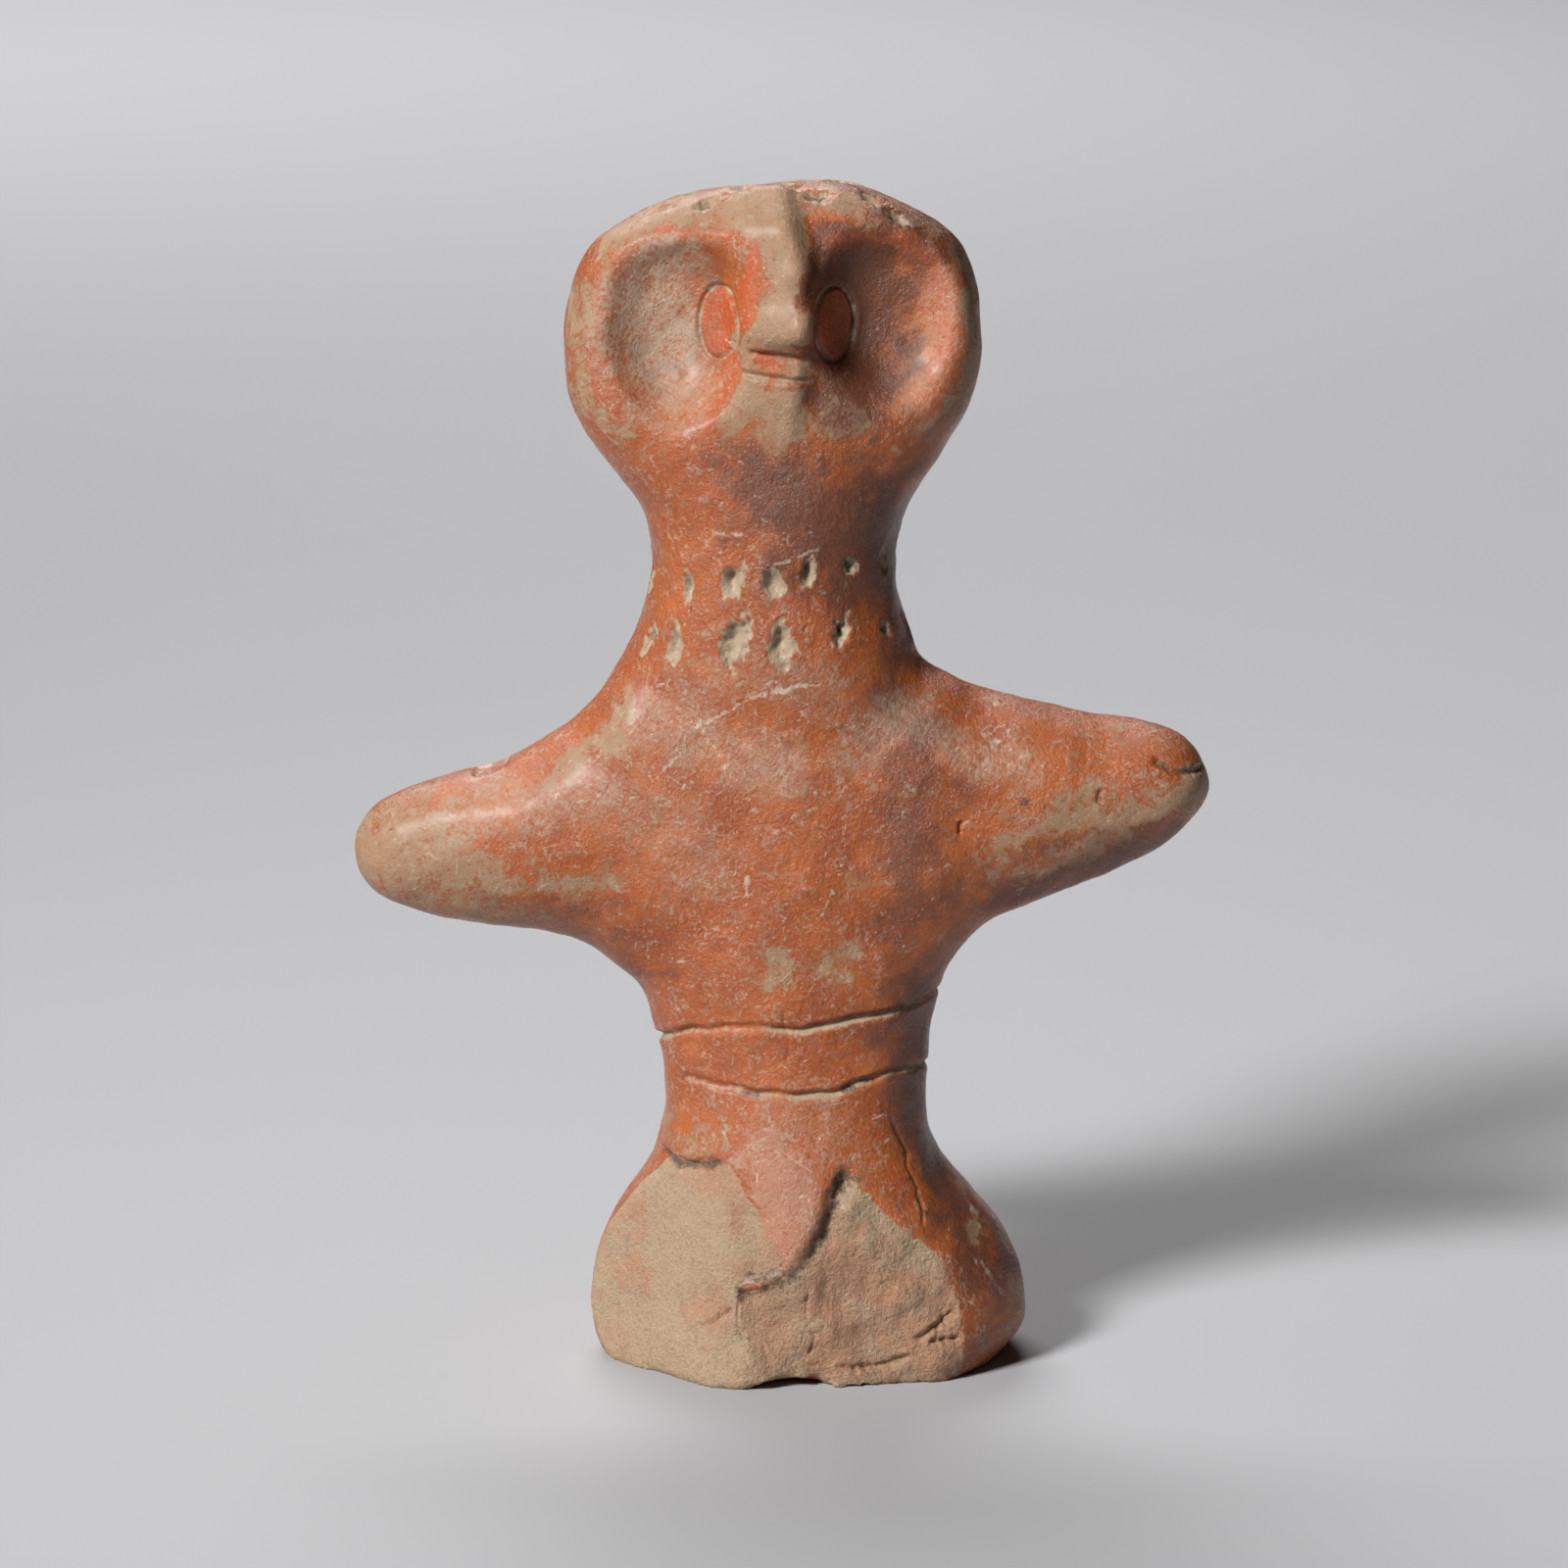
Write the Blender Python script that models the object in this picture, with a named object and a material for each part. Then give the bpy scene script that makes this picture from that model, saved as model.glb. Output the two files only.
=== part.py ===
# A small terracotta female figure: stub arms, an owl-like face with two thumb-pressed hollows,
# an incised belt, pricked neck and crown, and two old breaks where the legs came off.
# It is one solid. The front faces -Y, +X is the viewer's right, and it stands on z = 0.
import bmesh
import bpy
import numpy as np
from math import cos, radians, sin, tau
from mathutils import Matrix, Vector
from mathutils.bvhtree import BVHTree

# The main sizes in millimetres: foot to crown, arm tip to arm tip, front to back at the foot.
HEIGHT = 144.1
ARM_SPAN = 104.8
THICKNESS = 40.3
METRES = 0.001

# Everything below is drawn in parts, which are shares of the three main sizes.
# Upright body: height, left edge, right edge, front, back, squareness of the section.
COLUMN = (
    (-5.0, -21.0, 17.5, -17.0, 11.0, 2.1),
    (0.0, -25.4, 23.6, -19.5, 16.0, 2.1),
    (4.0, -27.0, 26.4, -19.5, 19.0, 2.2),
    (9.0, -27.0, 26.3, -18.6, 20.3, 2.3),
    (14.0, -25.7, 24.3, -17.5, 20.8, 2.2),
    (19.0, -23.2, 20.4, -16.7, 20.0, 2.2),
    (24.0, -19.8, 16.5, -15.5, 17.8, 2.2),
    (29.0, -18.2, 14.2, -14.0, 15.2, 2.2),
    (36.0, -18.2, 14.2, -12.7, 12.8, 2.2),
    (43.0, -19.6, 15.0, -12.4, 12.0, 2.2),
    (52.0, -22.5, 18.0, -12.8, 11.6, 2.3),
    (66.0, -23.0, 18.5, -12.8, 11.6, 2.4),
    (78.0, -22.5, 15.0, -12.2, 11.8, 2.3),
    (88.0, -21.6, 12.6, -12.9, 13.2, 2.1),
    (98.0, -19.8, 10.1, -13.0, 13.4, 2.0),
    (104.0, -20.1, 10.8, -12.8, 12.8, 2.0),
    (110.0, -24.3, 14.8, -12.3, 12.2, 2.2),
    (117.0, -28.6, 18.9, -11.8, 12.0, 2.5),
    (124.0, -29.6, 20.4, -11.4, 12.0, 2.7),
    (131.0, -28.3, 20.2, -10.8, 11.6, 2.7),
    (137.0, -26.2, 17.8, -10.0, 11.0, 2.6),
    (144.1, -20.6, 14.4, -9.0, 10.0, 2.4),
)
CROWN_ROUNDING = 7.5

# Shoulders and arms: distance along X, underside, top, front, back, squareness.
SPREAD = (
    (-55.8, 56.4, 68.6, -7.0, 5.6, 2.0),
    (-51.0, 56.2, 69.4, -7.6, 6.4, 2.0),
    (-44.0, 54.2, 72.4, -9.0, 7.8, 2.0),
    (-36.0, 53.0, 74.6, -9.8, 8.8, 2.1),
    (-30.0, 52.3, 78.2, -10.4, 9.6, 2.2),
    (-26.0, 50.6, 81.3, -10.8, 10.0, 2.2),
    (-22.5, 47.4, 86.8, -11.3, 10.4, 2.3),
    (-12.0, 46.0, 86.0, -12.3, 11.2, 2.3),
    (5.0, 46.0, 86.0, -12.4, 11.2, 2.3),
    (15.0, 46.5, 85.6, -11.6, 10.6, 2.3),
    (20.0, 52.7, 82.8, -10.8, 10.0, 2.2),
    (26.0, 56.1, 81.4, -10.2, 9.4, 2.1),
    (34.0, 58.8, 79.8, -9.2, 8.6, 2.0),
    (41.0, 62.6, 78.7, -8.2, 7.6, 2.0),
    (45.0, 64.6, 77.6, -7.4, 6.8, 2.0),
    (49.0, 65.4, 76.0, -6.6, 6.0, 2.0),
)
HAND_ROUNDING = 6.0

# Thumb-pressed hollows of the face: deepest x and z, reach to the left, to the right, up and down.
HOLLOWS = (
    (-18.0, 127.4, 8.4, 11.6, 12.6),
    (10.4, 128.6, 10.0, 9.2, 12.8),
)
HOLLOW_BRIM = -15.0
HOLLOW_DEPTH = 9.8
HOLLOW_ROUND, HOLLOW_SQUARE = 2.0, 3.3
PRESS_SOFTNESS = 0.8

# Ridge of the nose, mouth and chin, from below up: height, x and y of the ridge, fall to left and right.
RIDGE = (
    (111.0, -4.4, -12.0, 0.2, 0.25),
    (118.0, -3.2, -12.9, 0.3, 0.5),
    (123.0, -2.2, -13.3, 0.3, 0.5),
    (125.2, -2.0, -13.3, 0.3, 0.6),
    (126.1, -2.0, -14.7, 0.8, 0.9),
    (132.0, -2.4, -14.2, 0.8, 0.9),
    (137.0, -3.0, -13.0, 0.6, 0.7),
    (141.0, -3.6, -10.8, 0.5, 0.5),
    (144.5, -4.0, -5.0, 0.5, 0.5),
)
# How far the ridge runs out to each side before it drops, and how steeply it then drops.
RIDGE_REACH = (6.2, 1.7)
RIDGE_DROP = (0.9, 2.2)
RIDGE_SPREAD = 14.0
RIDGE_SOFTNESS = 0.8

# Eyes: x and z of the middle, lean in degrees.
EYES = ((-11.1, 128.1, -4.0), (2.8, 128.2, 2.0))
EYE_HALF = (2.3, 4.3)
EYE_LINE = 0.8

# The two strokes of the mouth, x and z.
MOUTH = (
    ((-7.7, 125.2), (-4.0, 124.8), (-0.6, 124.3)),
    ((-8.6, 122.7), (-4.5, 122.1), (-0.4, 121.8)),
)
MOUTH_LINE = 0.9

# Belt lines: bearing around the body in degrees (0 is the front, 90 the viewer's right), height.
WAIST_AXIS = (-2.0, 0.0)
UPPER_BELT = (
    (-180, 41.2), (-130, 39.8), (-90, 39.5), (-46, 42.8), (-15, 43.3), (5, 43.2),
    (24, 43.9), (45, 44.7), (65, 45.4), (90, 45.5), (140, 43.2), (180, 41.2),
)
LOWER_BELT = (
    (-60, 36.3), (-40, 35.8), (-18, 35.3), (2, 35.0), (22, 35.4), (39, 36.6),
    (58, 37.2), (90, 36.3), (150, 34.4), (210, 34.6),
)
BELT_LINE = 1.3

# Pricked rows round the neck: height, rise to the right, bearings seen from the front, spacing behind.
NECK_AXIS = (-4.9, 0.0)
NECK_ROWS = (
    (98.0, 1.8, (-45, -21, 2, 20, 43, 66, 88), 24),
    (90.6, 0.8, (-50, -19, 6, 37, 61, 84), 26),
)
NECK_SCATTER = 0.5

# Pricks over the crown: rows from front to back as y, first x, last x, spacing.
CROWN_ROWS = ((-4.2, -17.5, 11.5, 4.75), (1.8, -14.0, 9.0, 4.5))
CROWN_SCATTER = (0.8, 1.0)

# The marks of the stick: half width, half height, depth.
NECK_PRICK = (1.25, 2.1, 1.1)
CROWN_PRICK = (1.5, 1.1, 0.9)

# Outlines of the two breaks as seen from the front, x and z. They meet along the ledge.
LEFT_BREAK = (
    (-18.4, 27.4), (-15.0, 26.0), (-12.6, 27.0), (-10.3, 27.0), (-8.2, 24.0), (-6.4, 21.4), (-5.2, 18.4),
    (-3.8, 16.2), (-2.6, 14.4), (-5.2, 13.4), (-8.4, 12.6), (-7.8, 6.0), (-8.4, -9.0), (-32.0, -9.0),
    (-32.0, 9.0),
)
RIGHT_BREAK = (
    (3.6, 26.6), (5.4, 25.2), (7.7, 22.0), (10.0, 19.8), (13.2, 17.2), (15.8, 14.6), (17.4, 11.4),
    (18.4, 6.5), (18.2, 2.0), (16.5, -9.0), (-8.8, -9.0), (-8.3, 6.0), (-8.8, 12.3), (-5.2, 12.9),
    (-2.6, 14.2), (-0.6, 16.6), (0.8, 19.4), (2.2, 23.4),
)

# The left break turns from a side plane to a plane ahead: y at the middle, change with x, change with z.
LEFT_SIDE = (-29.4, -0.95, 0.19)
LEFT_AHEAD = (-18.9, 0.0, 0.18)
LEFT_TURN = 1.6
LEFT_GRAIN = 0.12

# The right break: the same three numbers, and how deep the coarse clay waves.
RIGHT_AHEAD = (-17.9, 0.16, 0.1)
RIGHT_GRAIN = 0.28

# The ledge that overhangs the right break runs between two points: depth and width of the scoop under it.
LEDGE = ((-8.6, 12.5), (3.2, 24.5))
LEDGE_SCOOP = 1.2
LEDGE_WIDTH = 2.5

# Where the two breaks meet low down the right one comes forward: height, x, and how soon.
FOOT_FORWARD = (9.0, -2.0, 5.0)

# The cutter of a break: spacing of its rough face, and how deep its outline is drawn.
BREAK_GRID = 2.1
BREAK_BACK = 14.0

# Shallow chip under the front edge: x, y, half width, half depth, height.
FOOT_CHIP = (-2.4, -17.0, 5.2, 4.0, 1.3)

FORM_VOXEL = 0.9
FORM_TRIANGLES = 4700
BELT_POINTS = (46, 34)
EYE_POINTS = 16
MOUTH_POINTS = 6
SEAT_RADIUS = 9.0

CLAY = (0.47, 0.115, 0.045, 1.0)
CLAY_ROUGHNESS = 0.48

# One part in millimetres: upward and across the body, along the arms, and from front to back.
UP = HEIGHT / COLUMN[-1][0]
OUT = ARM_SPAN / (SPREAD[-1][0] - SPREAD[0][0])
DEEP = THICKNESS / (max(row[4] for row in COLUMN) - min(row[3] for row in COLUMN))
# A distance that is well clear of the figure.
CLEAR = 2 * HEIGHT


def smooth_between(stations, at):
    """Carries a smooth curve through the stations, whose first column is the place along it."""
    table = np.array(stations, float)
    place, value = table[:, 0], table[:, 1:]
    slope = np.gradient(value, place, axis=0)
    start = np.clip(np.searchsorted(place, at, side="right") - 1, 0, len(place) - 2)
    span = (place[start + 1] - place[start])[:, None]
    s = (np.asarray(at) - place[start])[:, None] / span
    rise = (2 * s**3 - 3 * s**2 + 1) * value[start] + (3 * s**2 - 2 * s**3) * value[start + 1]
    return rise + span * ((s**3 - 2 * s**2 + s) * slope[start] + (s**3 - s**2) * slope[start + 1])


def oval_rings(stations, first_rounding, last_rounding, along, across, steps=150, sides=64):
    """Sweeps an oval section through the stations and rounds off the ends like a ball."""
    first, last = stations[0][0], stations[-1][0]
    at = (first + last) / 2 - (last - first) / 2 * np.cos(np.linspace(0.02, np.pi - 0.02, steps))
    low, high, front, back, power = smooth_between(stations, at).T[:, :, None]
    swell = np.ones(steps)
    if first_rounding:
        swell *= np.sqrt(1 - np.clip(1 - (at - first) / first_rounding, 0, 1) ** 2)
    if last_rounding:
        swell *= np.sqrt(1 - np.clip(1 - (last - at) / last_rounding, 0, 1) ** 2)
    turn = np.linspace(0, tau, sides, endpoint=False)[None, :]
    wide = np.sign(np.cos(turn)) * np.abs(np.cos(turn)) ** (2 / power)
    deep = np.sign(np.sin(turn)) * np.abs(np.sin(turn)) ** (2 / power)
    rings = np.empty((steps, sides, 3))
    rings[:, :, along] = at[:, None]
    rings[:, :, across] = (low + high) / 2 + (high - low) / 2 * wide * swell[:, None]
    rings[:, :, 1] = np.where(deep < 0, -front, back) * deep * swell[:, None]
    return rings


def add_tube(bm, rings):
    """Bridges the rings with quads and closes both ends."""
    loops = [[bm.verts.new(point) for point in ring] for ring in rings]
    count = len(loops[0])
    for near, far in zip(loops, loops[1:]):
        for i in range(count):
            j = (i + 1) % count
            bm.faces.new((near[i], near[j], far[j], far[i]))
    bm.faces.new(list(reversed(loops[0])))
    bm.faces.new(loops[-1])


def closed_object(name, bm):
    """Makes an object of the bmesh with every face turned outward."""
    bmesh.ops.recalc_face_normals(bm, faces=bm.faces)
    mesh = bpy.data.meshes.new(name)
    bm.to_mesh(mesh)
    bm.free()
    made = bpy.data.objects.new(name, mesh)
    bpy.context.scene.collection.objects.link(made)
    return made


def settle(item):
    """Replaces an object's mesh by the result of its modifiers."""
    bpy.context.view_layer.update()
    graph = bpy.context.evaluated_depsgraph_get()
    result = bpy.data.meshes.new_from_object(item.evaluated_get(graph))
    item.modifiers.clear()
    item.data = result


def combine(item, tool, operation):
    """Cuts or intersects an object with a tool, which is then thrown away."""
    step = item.modifiers.new(operation.lower(), "BOOLEAN")
    step.operation = operation
    step.solver = "EXACT"
    step.object = tool
    settle(item)
    bpy.data.objects.remove(tool)


def relax(item, rounds):
    """Evens out the surface."""
    step = item.modifiers.new("relax", "SMOOTH")
    step.factor = 0.5
    step.iterations = rounds
    settle(item)


def blend_max(a, b, soft):
    """The greater of two values, eased over where they cross."""
    return (a + b + np.sqrt((a - b) ** 2 + soft**2)) / 2


def shape_face(item):
    """Presses in the two hollows and draws out the nose on the front of the head."""
    place = np.empty(len(item.data.vertices) * 3)
    item.data.vertices.foreach_get("co", place)
    part = np.array((UP, DEEP, UP))
    x, y, z = (place.reshape(-1, 3) / part).T
    front = y < 0
    for cx, cz, left, right, tall in HOLLOWS:
        square = HOLLOW_ROUND + (HOLLOW_SQUARE - HOLLOW_ROUND) * np.clip((z - cz + 6) / 12, 0, 1)
        off_x = np.abs(x - cx) / np.where(x < cx, left, right)
        inside = np.clip(1 - off_x**square - (np.abs(z - cz) / tall) ** square, 0, 1)
        floor = HOLLOW_BRIM + HOLLOW_DEPTH * np.sqrt(inside)
        y = np.where(front & (inside > 0), blend_max(y, floor, PRESS_SOFTNESS), y)
    low, high = RIDGE[0][0], RIDGE[-1][0]
    ridge_x, ridge_y, fall_left, fall_right = smooth_between(RIDGE, np.clip(z, low, high)).T
    side = x - ridge_x
    flank = ridge_y + np.where(side < 0, -side * fall_left, side * fall_right)
    flank += RIDGE_DROP[0] * np.clip(-side - RIDGE_REACH[0], 0, None)
    flank += RIDGE_DROP[1] * np.clip(side - RIDGE_REACH[1], 0, None)
    on_ridge = front & (z > low - 1) & (z < high + 1) & (np.abs(side) < RIDGE_SPREAD)
    y = np.where(on_ridge, -blend_max(-y, -flank, RIDGE_SOFTNESS) + RIDGE_SOFTNESS * 0.15, y)
    item.data.vertices.foreach_set("co", (np.column_stack((x, y, z)) * part).ravel())


class Skin:
    """Finds points and outward directions on the modelled surface, from places given in parts."""

    def __init__(self, item):
        points = [vertex.co.copy() for vertex in item.data.vertices]
        self.tree = BVHTree.FromPolygons(points, [face.vertices[:] for face in item.data.polygons])

    def meet(self, start, way):
        hit = self.tree.ray_cast(start, way)
        return hit[0], hit[1].normalized()

    def front(self, x, z):
        return self.meet(Vector((x * UP, -CLEAR, z * UP)), Vector((0, 1, 0)))

    def around(self, axis, bearing, z):
        out = Vector((sin(radians(bearing)), -cos(radians(bearing)), 0))
        return self.meet(Vector((axis[0] * UP, axis[1] * DEEP, z * UP)) + out * ARM_SPAN, -out)

    def top(self, x, y):
        return self.meet(Vector((x * UP, y * DEEP, CLEAR)), Vector((0, 0, -1)))


def add_line(bm, found, width, closed=False):
    """Adds a tool that scores a groove of the given width along points found on the skin."""
    points = [point for point, _ in found]
    last = len(points) - 1
    loops = []
    for i, (point, out) in enumerate(found):
        if closed:
            ahead = (points[(i + 1) % len(points)] - points[i - 1]).normalized()
            size = 1.0
        else:
            ahead = (points[min(i + 1, last)] - points[max(i - 1, 0)]).normalized()
            size = 0.35 if i in (0, last) else 1.0
        side = ahead.cross(out).normalized()
        up = side.cross(ahead)
        half = width * UP / 2 * size
        shape = ((1.25, 1.0), (0.0, -1.1), (-1.25, 1.0))
        loops.append([point + side * (a * half) + up * (b * half) for a, b in shape])
    corners = [[bm.verts.new(p) for p in loop] for loop in loops]
    pairs = list(zip(corners, corners[1:]))
    if closed:
        pairs.append((corners[-1], corners[0]))
    for near, far in pairs:
        for i in range(3):
            j = (i + 1) % 3
            bm.faces.new((near[i], near[j], far[j], far[i]))
    if not closed:
        bm.faces.new(list(reversed(corners[0])))
        bm.faces.new(corners[-1])


def add_prick(bm, found, size, tilt):
    """Adds an egg-shaped tool for one prick of a stick: half width, half height, depth."""
    point, out = found
    side = Vector((0, 0, 1)).cross(out)
    side = side.normalized() if side.length > 0.3 else Vector((1, 0, 0))
    up = out.cross(side).normalized()
    side = up.cross(out)
    across = side * cos(tilt) + up * sin(tilt)
    upward = up * cos(tilt) - side * sin(tilt)
    frame = Matrix((across, upward, out)).transposed().to_4x4()
    frame.translation = point
    scale = Matrix.Diagonal((size[0], size[1], size[2], 1))
    bmesh.ops.create_uvsphere(bm, u_segments=7, v_segments=4, radius=UP, matrix=frame @ scale)


def score_skin(item):
    """Scores the belt, mouth and eyes, pricks the neck and crown and chips the front of the foot."""
    skin = Skin(item)
    lines = bmesh.new()
    bearings = np.linspace(-180, 180, BELT_POINTS[0], endpoint=False)
    heights = smooth_between(UPPER_BELT, bearings)[:, 0]
    found = [skin.around(WAIST_AXIS, b, h) for b, h in zip(bearings, heights)]
    add_line(lines, found, BELT_LINE, closed=True)
    bearings = np.linspace(LOWER_BELT[0][0], LOWER_BELT[-1][0], BELT_POINTS[1])
    heights = smooth_between(LOWER_BELT, bearings)[:, 0]
    add_line(lines, [skin.around(WAIST_AXIS, b, h) for b, h in zip(bearings, heights)], BELT_LINE)
    for stroke in MOUTH:
        xs = np.linspace(stroke[0][0], stroke[-1][0], MOUTH_POINTS)
        zs = smooth_between(stroke, xs)[:, 0]
        add_line(lines, [skin.front(x, z) for x, z in zip(xs, zs)], MOUTH_LINE)
    turn = np.linspace(0, tau, EYE_POINTS, endpoint=False)
    u, v = EYE_HALF[0] * np.cos(turn), EYE_HALF[1] * np.sin(turn)
    for x, z, lean in EYES:
        rake = radians(lean)
        xs = x + u * cos(rake) - v * sin(rake)
        zs = z + u * sin(rake) + v * cos(rake)
        add_line(lines, [skin.front(*place) for place in zip(xs, zs)], EYE_LINE, closed=True)
    pricks = bmesh.new()
    for level, rise, seen, spacing in NECK_ROWS:
        behind = np.arange(seen[-1] + spacing, 360 + seen[0] - spacing / 2, spacing)
        for i, bearing in enumerate((*seen, *behind)):
            height = level + rise * sin(radians(bearing)) + NECK_SCATTER * sin(2.3 * i)
            add_prick(pricks, skin.around(NECK_AXIS, bearing, height), NECK_PRICK, 0.25 * cos(1.7 * i))
    for y, first, last, spacing in CROWN_ROWS:
        for i, x in enumerate(np.arange(first, last, spacing)):
            found = skin.top(x + CROWN_SCATTER[0] * sin(2.9 * i), y + CROWN_SCATTER[1] * cos(3.7 * i))
            add_prick(pricks, found, CROWN_PRICK, 0.5 * sin(2.1 * i))
    x, y, wide, deep, tall = FOOT_CHIP
    chip = Matrix.Translation((x * UP, y * DEEP, 0)) @ Matrix.Diagonal((wide * UP, deep * DEEP, tall * UP, 1))
    bmesh.ops.create_uvsphere(pricks, u_segments=14, v_segments=8, radius=1, matrix=chip)
    combine(item, closed_object("lines", lines), "DIFFERENCE")
    combine(item, closed_object("pricks", pricks), "DIFFERENCE")


def rough(x, z):
    """Broken clay: low waves crossing at odd angles."""
    broad = np.sin(0.55 * x + 0.3 * z) + 0.8 * np.sin(0.35 * x - 0.8 * z + 2)
    return broad + 0.5 * np.sin(1.1 * x + 0.7 * z + 1)


def plane(slopes, x, z):
    """Depth of a leaning plane."""
    return slopes[0] + slopes[1] * x + slopes[2] * z


def left_face(x, z):
    """Depth of the left break: a plane facing front-left that turns to face front near the middle."""
    turned = blend_max(plane(LEFT_SIDE, x, z), plane(LEFT_AHEAD, x, z), LEFT_TURN)
    return turned + LEFT_GRAIN * rough(x, z)


def right_face(x, z):
    """Depth of the right break: rougher, scooped along the ledge, level with the left one at the foot."""
    (ax, az), (bx, bz) = LEDGE
    past = ((x - ax) * (bz - az) - (z - az) * (bx - ax)) / np.hypot(bx - ax, bz - az)
    scoop = LEDGE_SCOOP * np.exp(-((np.clip(past, 0, None) / LEDGE_WIDTH) ** 2))
    height, start, width = FOOT_FORWARD
    foot = np.clip(1 - z / height, 0, 1) * np.clip((start - x) / width, 0, 1)
    return plane(RIGHT_AHEAD, np.clip(x, -1, None), z) + scoop - foot + RIGHT_GRAIN * rough(x + 3, z)


def break_tool(outline, depth):
    """Makes the piece that broke off: all in front of a rough face inside an outline drawn on the front."""
    low_x, low_z = np.min(outline, axis=0) - BREAK_GRID
    high_x, high_z = np.max(outline, axis=0) + BREAK_GRID
    xs = np.arange(low_x, high_x, BREAK_GRID)
    zs = np.arange(low_z, high_z, BREAK_GRID)
    bm = bmesh.new()
    gx, gz = np.meshgrid(xs, zs)
    gy = depth(gx, gz)
    back = [[bm.verts.new(p) for p in zip(*row)] for row in zip(gx * UP, gy * DEEP, gz * UP)]
    for low, high in zip(back, back[1:]):
        for i in range(len(xs) - 1):
            bm.faces.new((low[i], low[i + 1], high[i + 1], high[i]))
    rim = [e for e in bm.edges if e.is_boundary]
    moved = bmesh.ops.extrude_edge_only(bm, edges=rim)["geom"]
    for vertex in (v for v in moved if isinstance(v, bmesh.types.BMVert)):
        vertex.co.y = -CLEAR
    bmesh.ops.holes_fill(bm, edges=[e for e in bm.edges if e.is_boundary])
    tool = closed_object("break", bm)
    prism = bmesh.new()
    face = prism.faces.new([prism.verts.new((x * UP, -CLEAR / 2, z * UP)) for x, z in outline])
    pushed = bmesh.ops.extrude_face_region(prism, geom=[face])["geom"]
    for vertex in (v for v in pushed if isinstance(v, bmesh.types.BMVert)):
        vertex.co.y = BREAK_BACK * DEEP
    combine(tool, closed_object("outline", prism), "INTERSECT")
    return tool


def level_underside(item):
    """Cuts the foot flat at z = 0 and fills it round one broad triangle in the middle."""
    bm = bmesh.new()
    bm.from_mesh(item.data)
    whole = bm.verts[:] + bm.edges[:] + bm.faces[:]
    bmesh.ops.bisect_plane(bm, geom=whole, plane_co=(0, 0, 0), plane_no=(0, 0, -1), clear_outer=True)
    rim = [e for e in bm.edges if e.is_boundary]
    seat = SEAT_RADIUS * min(UP, DEEP)
    middle = [bm.verts.new((seat * sin(a), seat * cos(a), 0)) for a in (0, tau / 3, 2 * tau / 3)]
    inner = [bm.edges.new((middle[i - 1], middle[i])) for i in range(3)]
    bmesh.ops.triangle_fill(bm, use_beauty=True, edges=rim + inner)
    if not any(set(middle) == set(face.verts) for face in bm.faces):
        bm.faces.new(middle)
    bmesh.ops.recalc_face_normals(bm, faces=bm.faces)
    bm.to_mesh(item.data)
    bm.free()


def make_figure():
    """Models the form, shapes and scores it, breaks off the legs and levels the foot."""
    bm = bmesh.new()
    column = np.array(COLUMN) * (UP, UP, UP, DEEP, DEEP, 1)
    spread = np.array(SPREAD) * (OUT, UP, UP, DEEP, DEEP, 1)
    add_tube(bm, oval_rings(column, 0, CROWN_ROUNDING * UP, 2, 0))
    add_tube(bm, oval_rings(spread, HAND_ROUNDING * OUT, HAND_ROUNDING * OUT, 0, 2))
    item = closed_object("figure", bm)
    join = item.modifiers.new("join", "REMESH")
    join.mode = "VOXEL"
    join.voxel_size = FORM_VOXEL * UP
    settle(item)
    relax(item, 24)
    shape_face(item)
    relax(item, 3)
    thin = item.modifiers.new("thin", "DECIMATE")
    thin.ratio = FORM_TRIANGLES / (2 * len(item.data.polygons))
    settle(item)
    legs = break_tool(LEFT_BREAK, left_face)
    combine(legs, break_tool(RIGHT_BREAK, right_face), "UNION")
    combine(item, legs, "DIFFERENCE")
    score_skin(item)
    level_underside(item)
    item.data.transform(Matrix.Scale(METRES, 4))
    item.data.shade_smooth()
    item.data.materials.append(bpy.data.materials["terracotta"])
    return item


for old in list(bpy.data.objects):
    bpy.data.objects.remove(old)
clay = bpy.data.materials.new("terracotta")
clay.use_nodes = True
surface = clay.node_tree.nodes["Principled BSDF"]
surface.inputs["Base Color"].default_value = CLAY
surface.inputs["Roughness"].default_value = CLAY_ROUGHNESS
surface.inputs["Metallic"].default_value = 0.0
figure = make_figure()
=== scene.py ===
import bmesh
import bpy
import numpy as np
from functools import reduce
from math import cos, radians, sin, tau
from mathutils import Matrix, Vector


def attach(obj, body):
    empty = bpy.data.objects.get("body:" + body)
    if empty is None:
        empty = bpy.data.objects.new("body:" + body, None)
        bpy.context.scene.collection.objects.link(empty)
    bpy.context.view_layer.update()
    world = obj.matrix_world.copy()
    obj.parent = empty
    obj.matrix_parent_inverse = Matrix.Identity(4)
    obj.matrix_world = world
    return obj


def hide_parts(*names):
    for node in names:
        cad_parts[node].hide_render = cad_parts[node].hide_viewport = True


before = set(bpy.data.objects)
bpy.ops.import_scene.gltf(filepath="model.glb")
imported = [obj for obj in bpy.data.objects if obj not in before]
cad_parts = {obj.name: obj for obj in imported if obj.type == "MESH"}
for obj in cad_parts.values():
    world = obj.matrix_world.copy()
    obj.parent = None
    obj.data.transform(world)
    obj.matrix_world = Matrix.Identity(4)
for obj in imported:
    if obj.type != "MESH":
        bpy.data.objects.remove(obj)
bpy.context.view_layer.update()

# The figure is worked out in millimetres and brought to metres when its mesh is made.
# Its front faces -Y and +X is the viewer's right.
millimetre = 0.001

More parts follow.
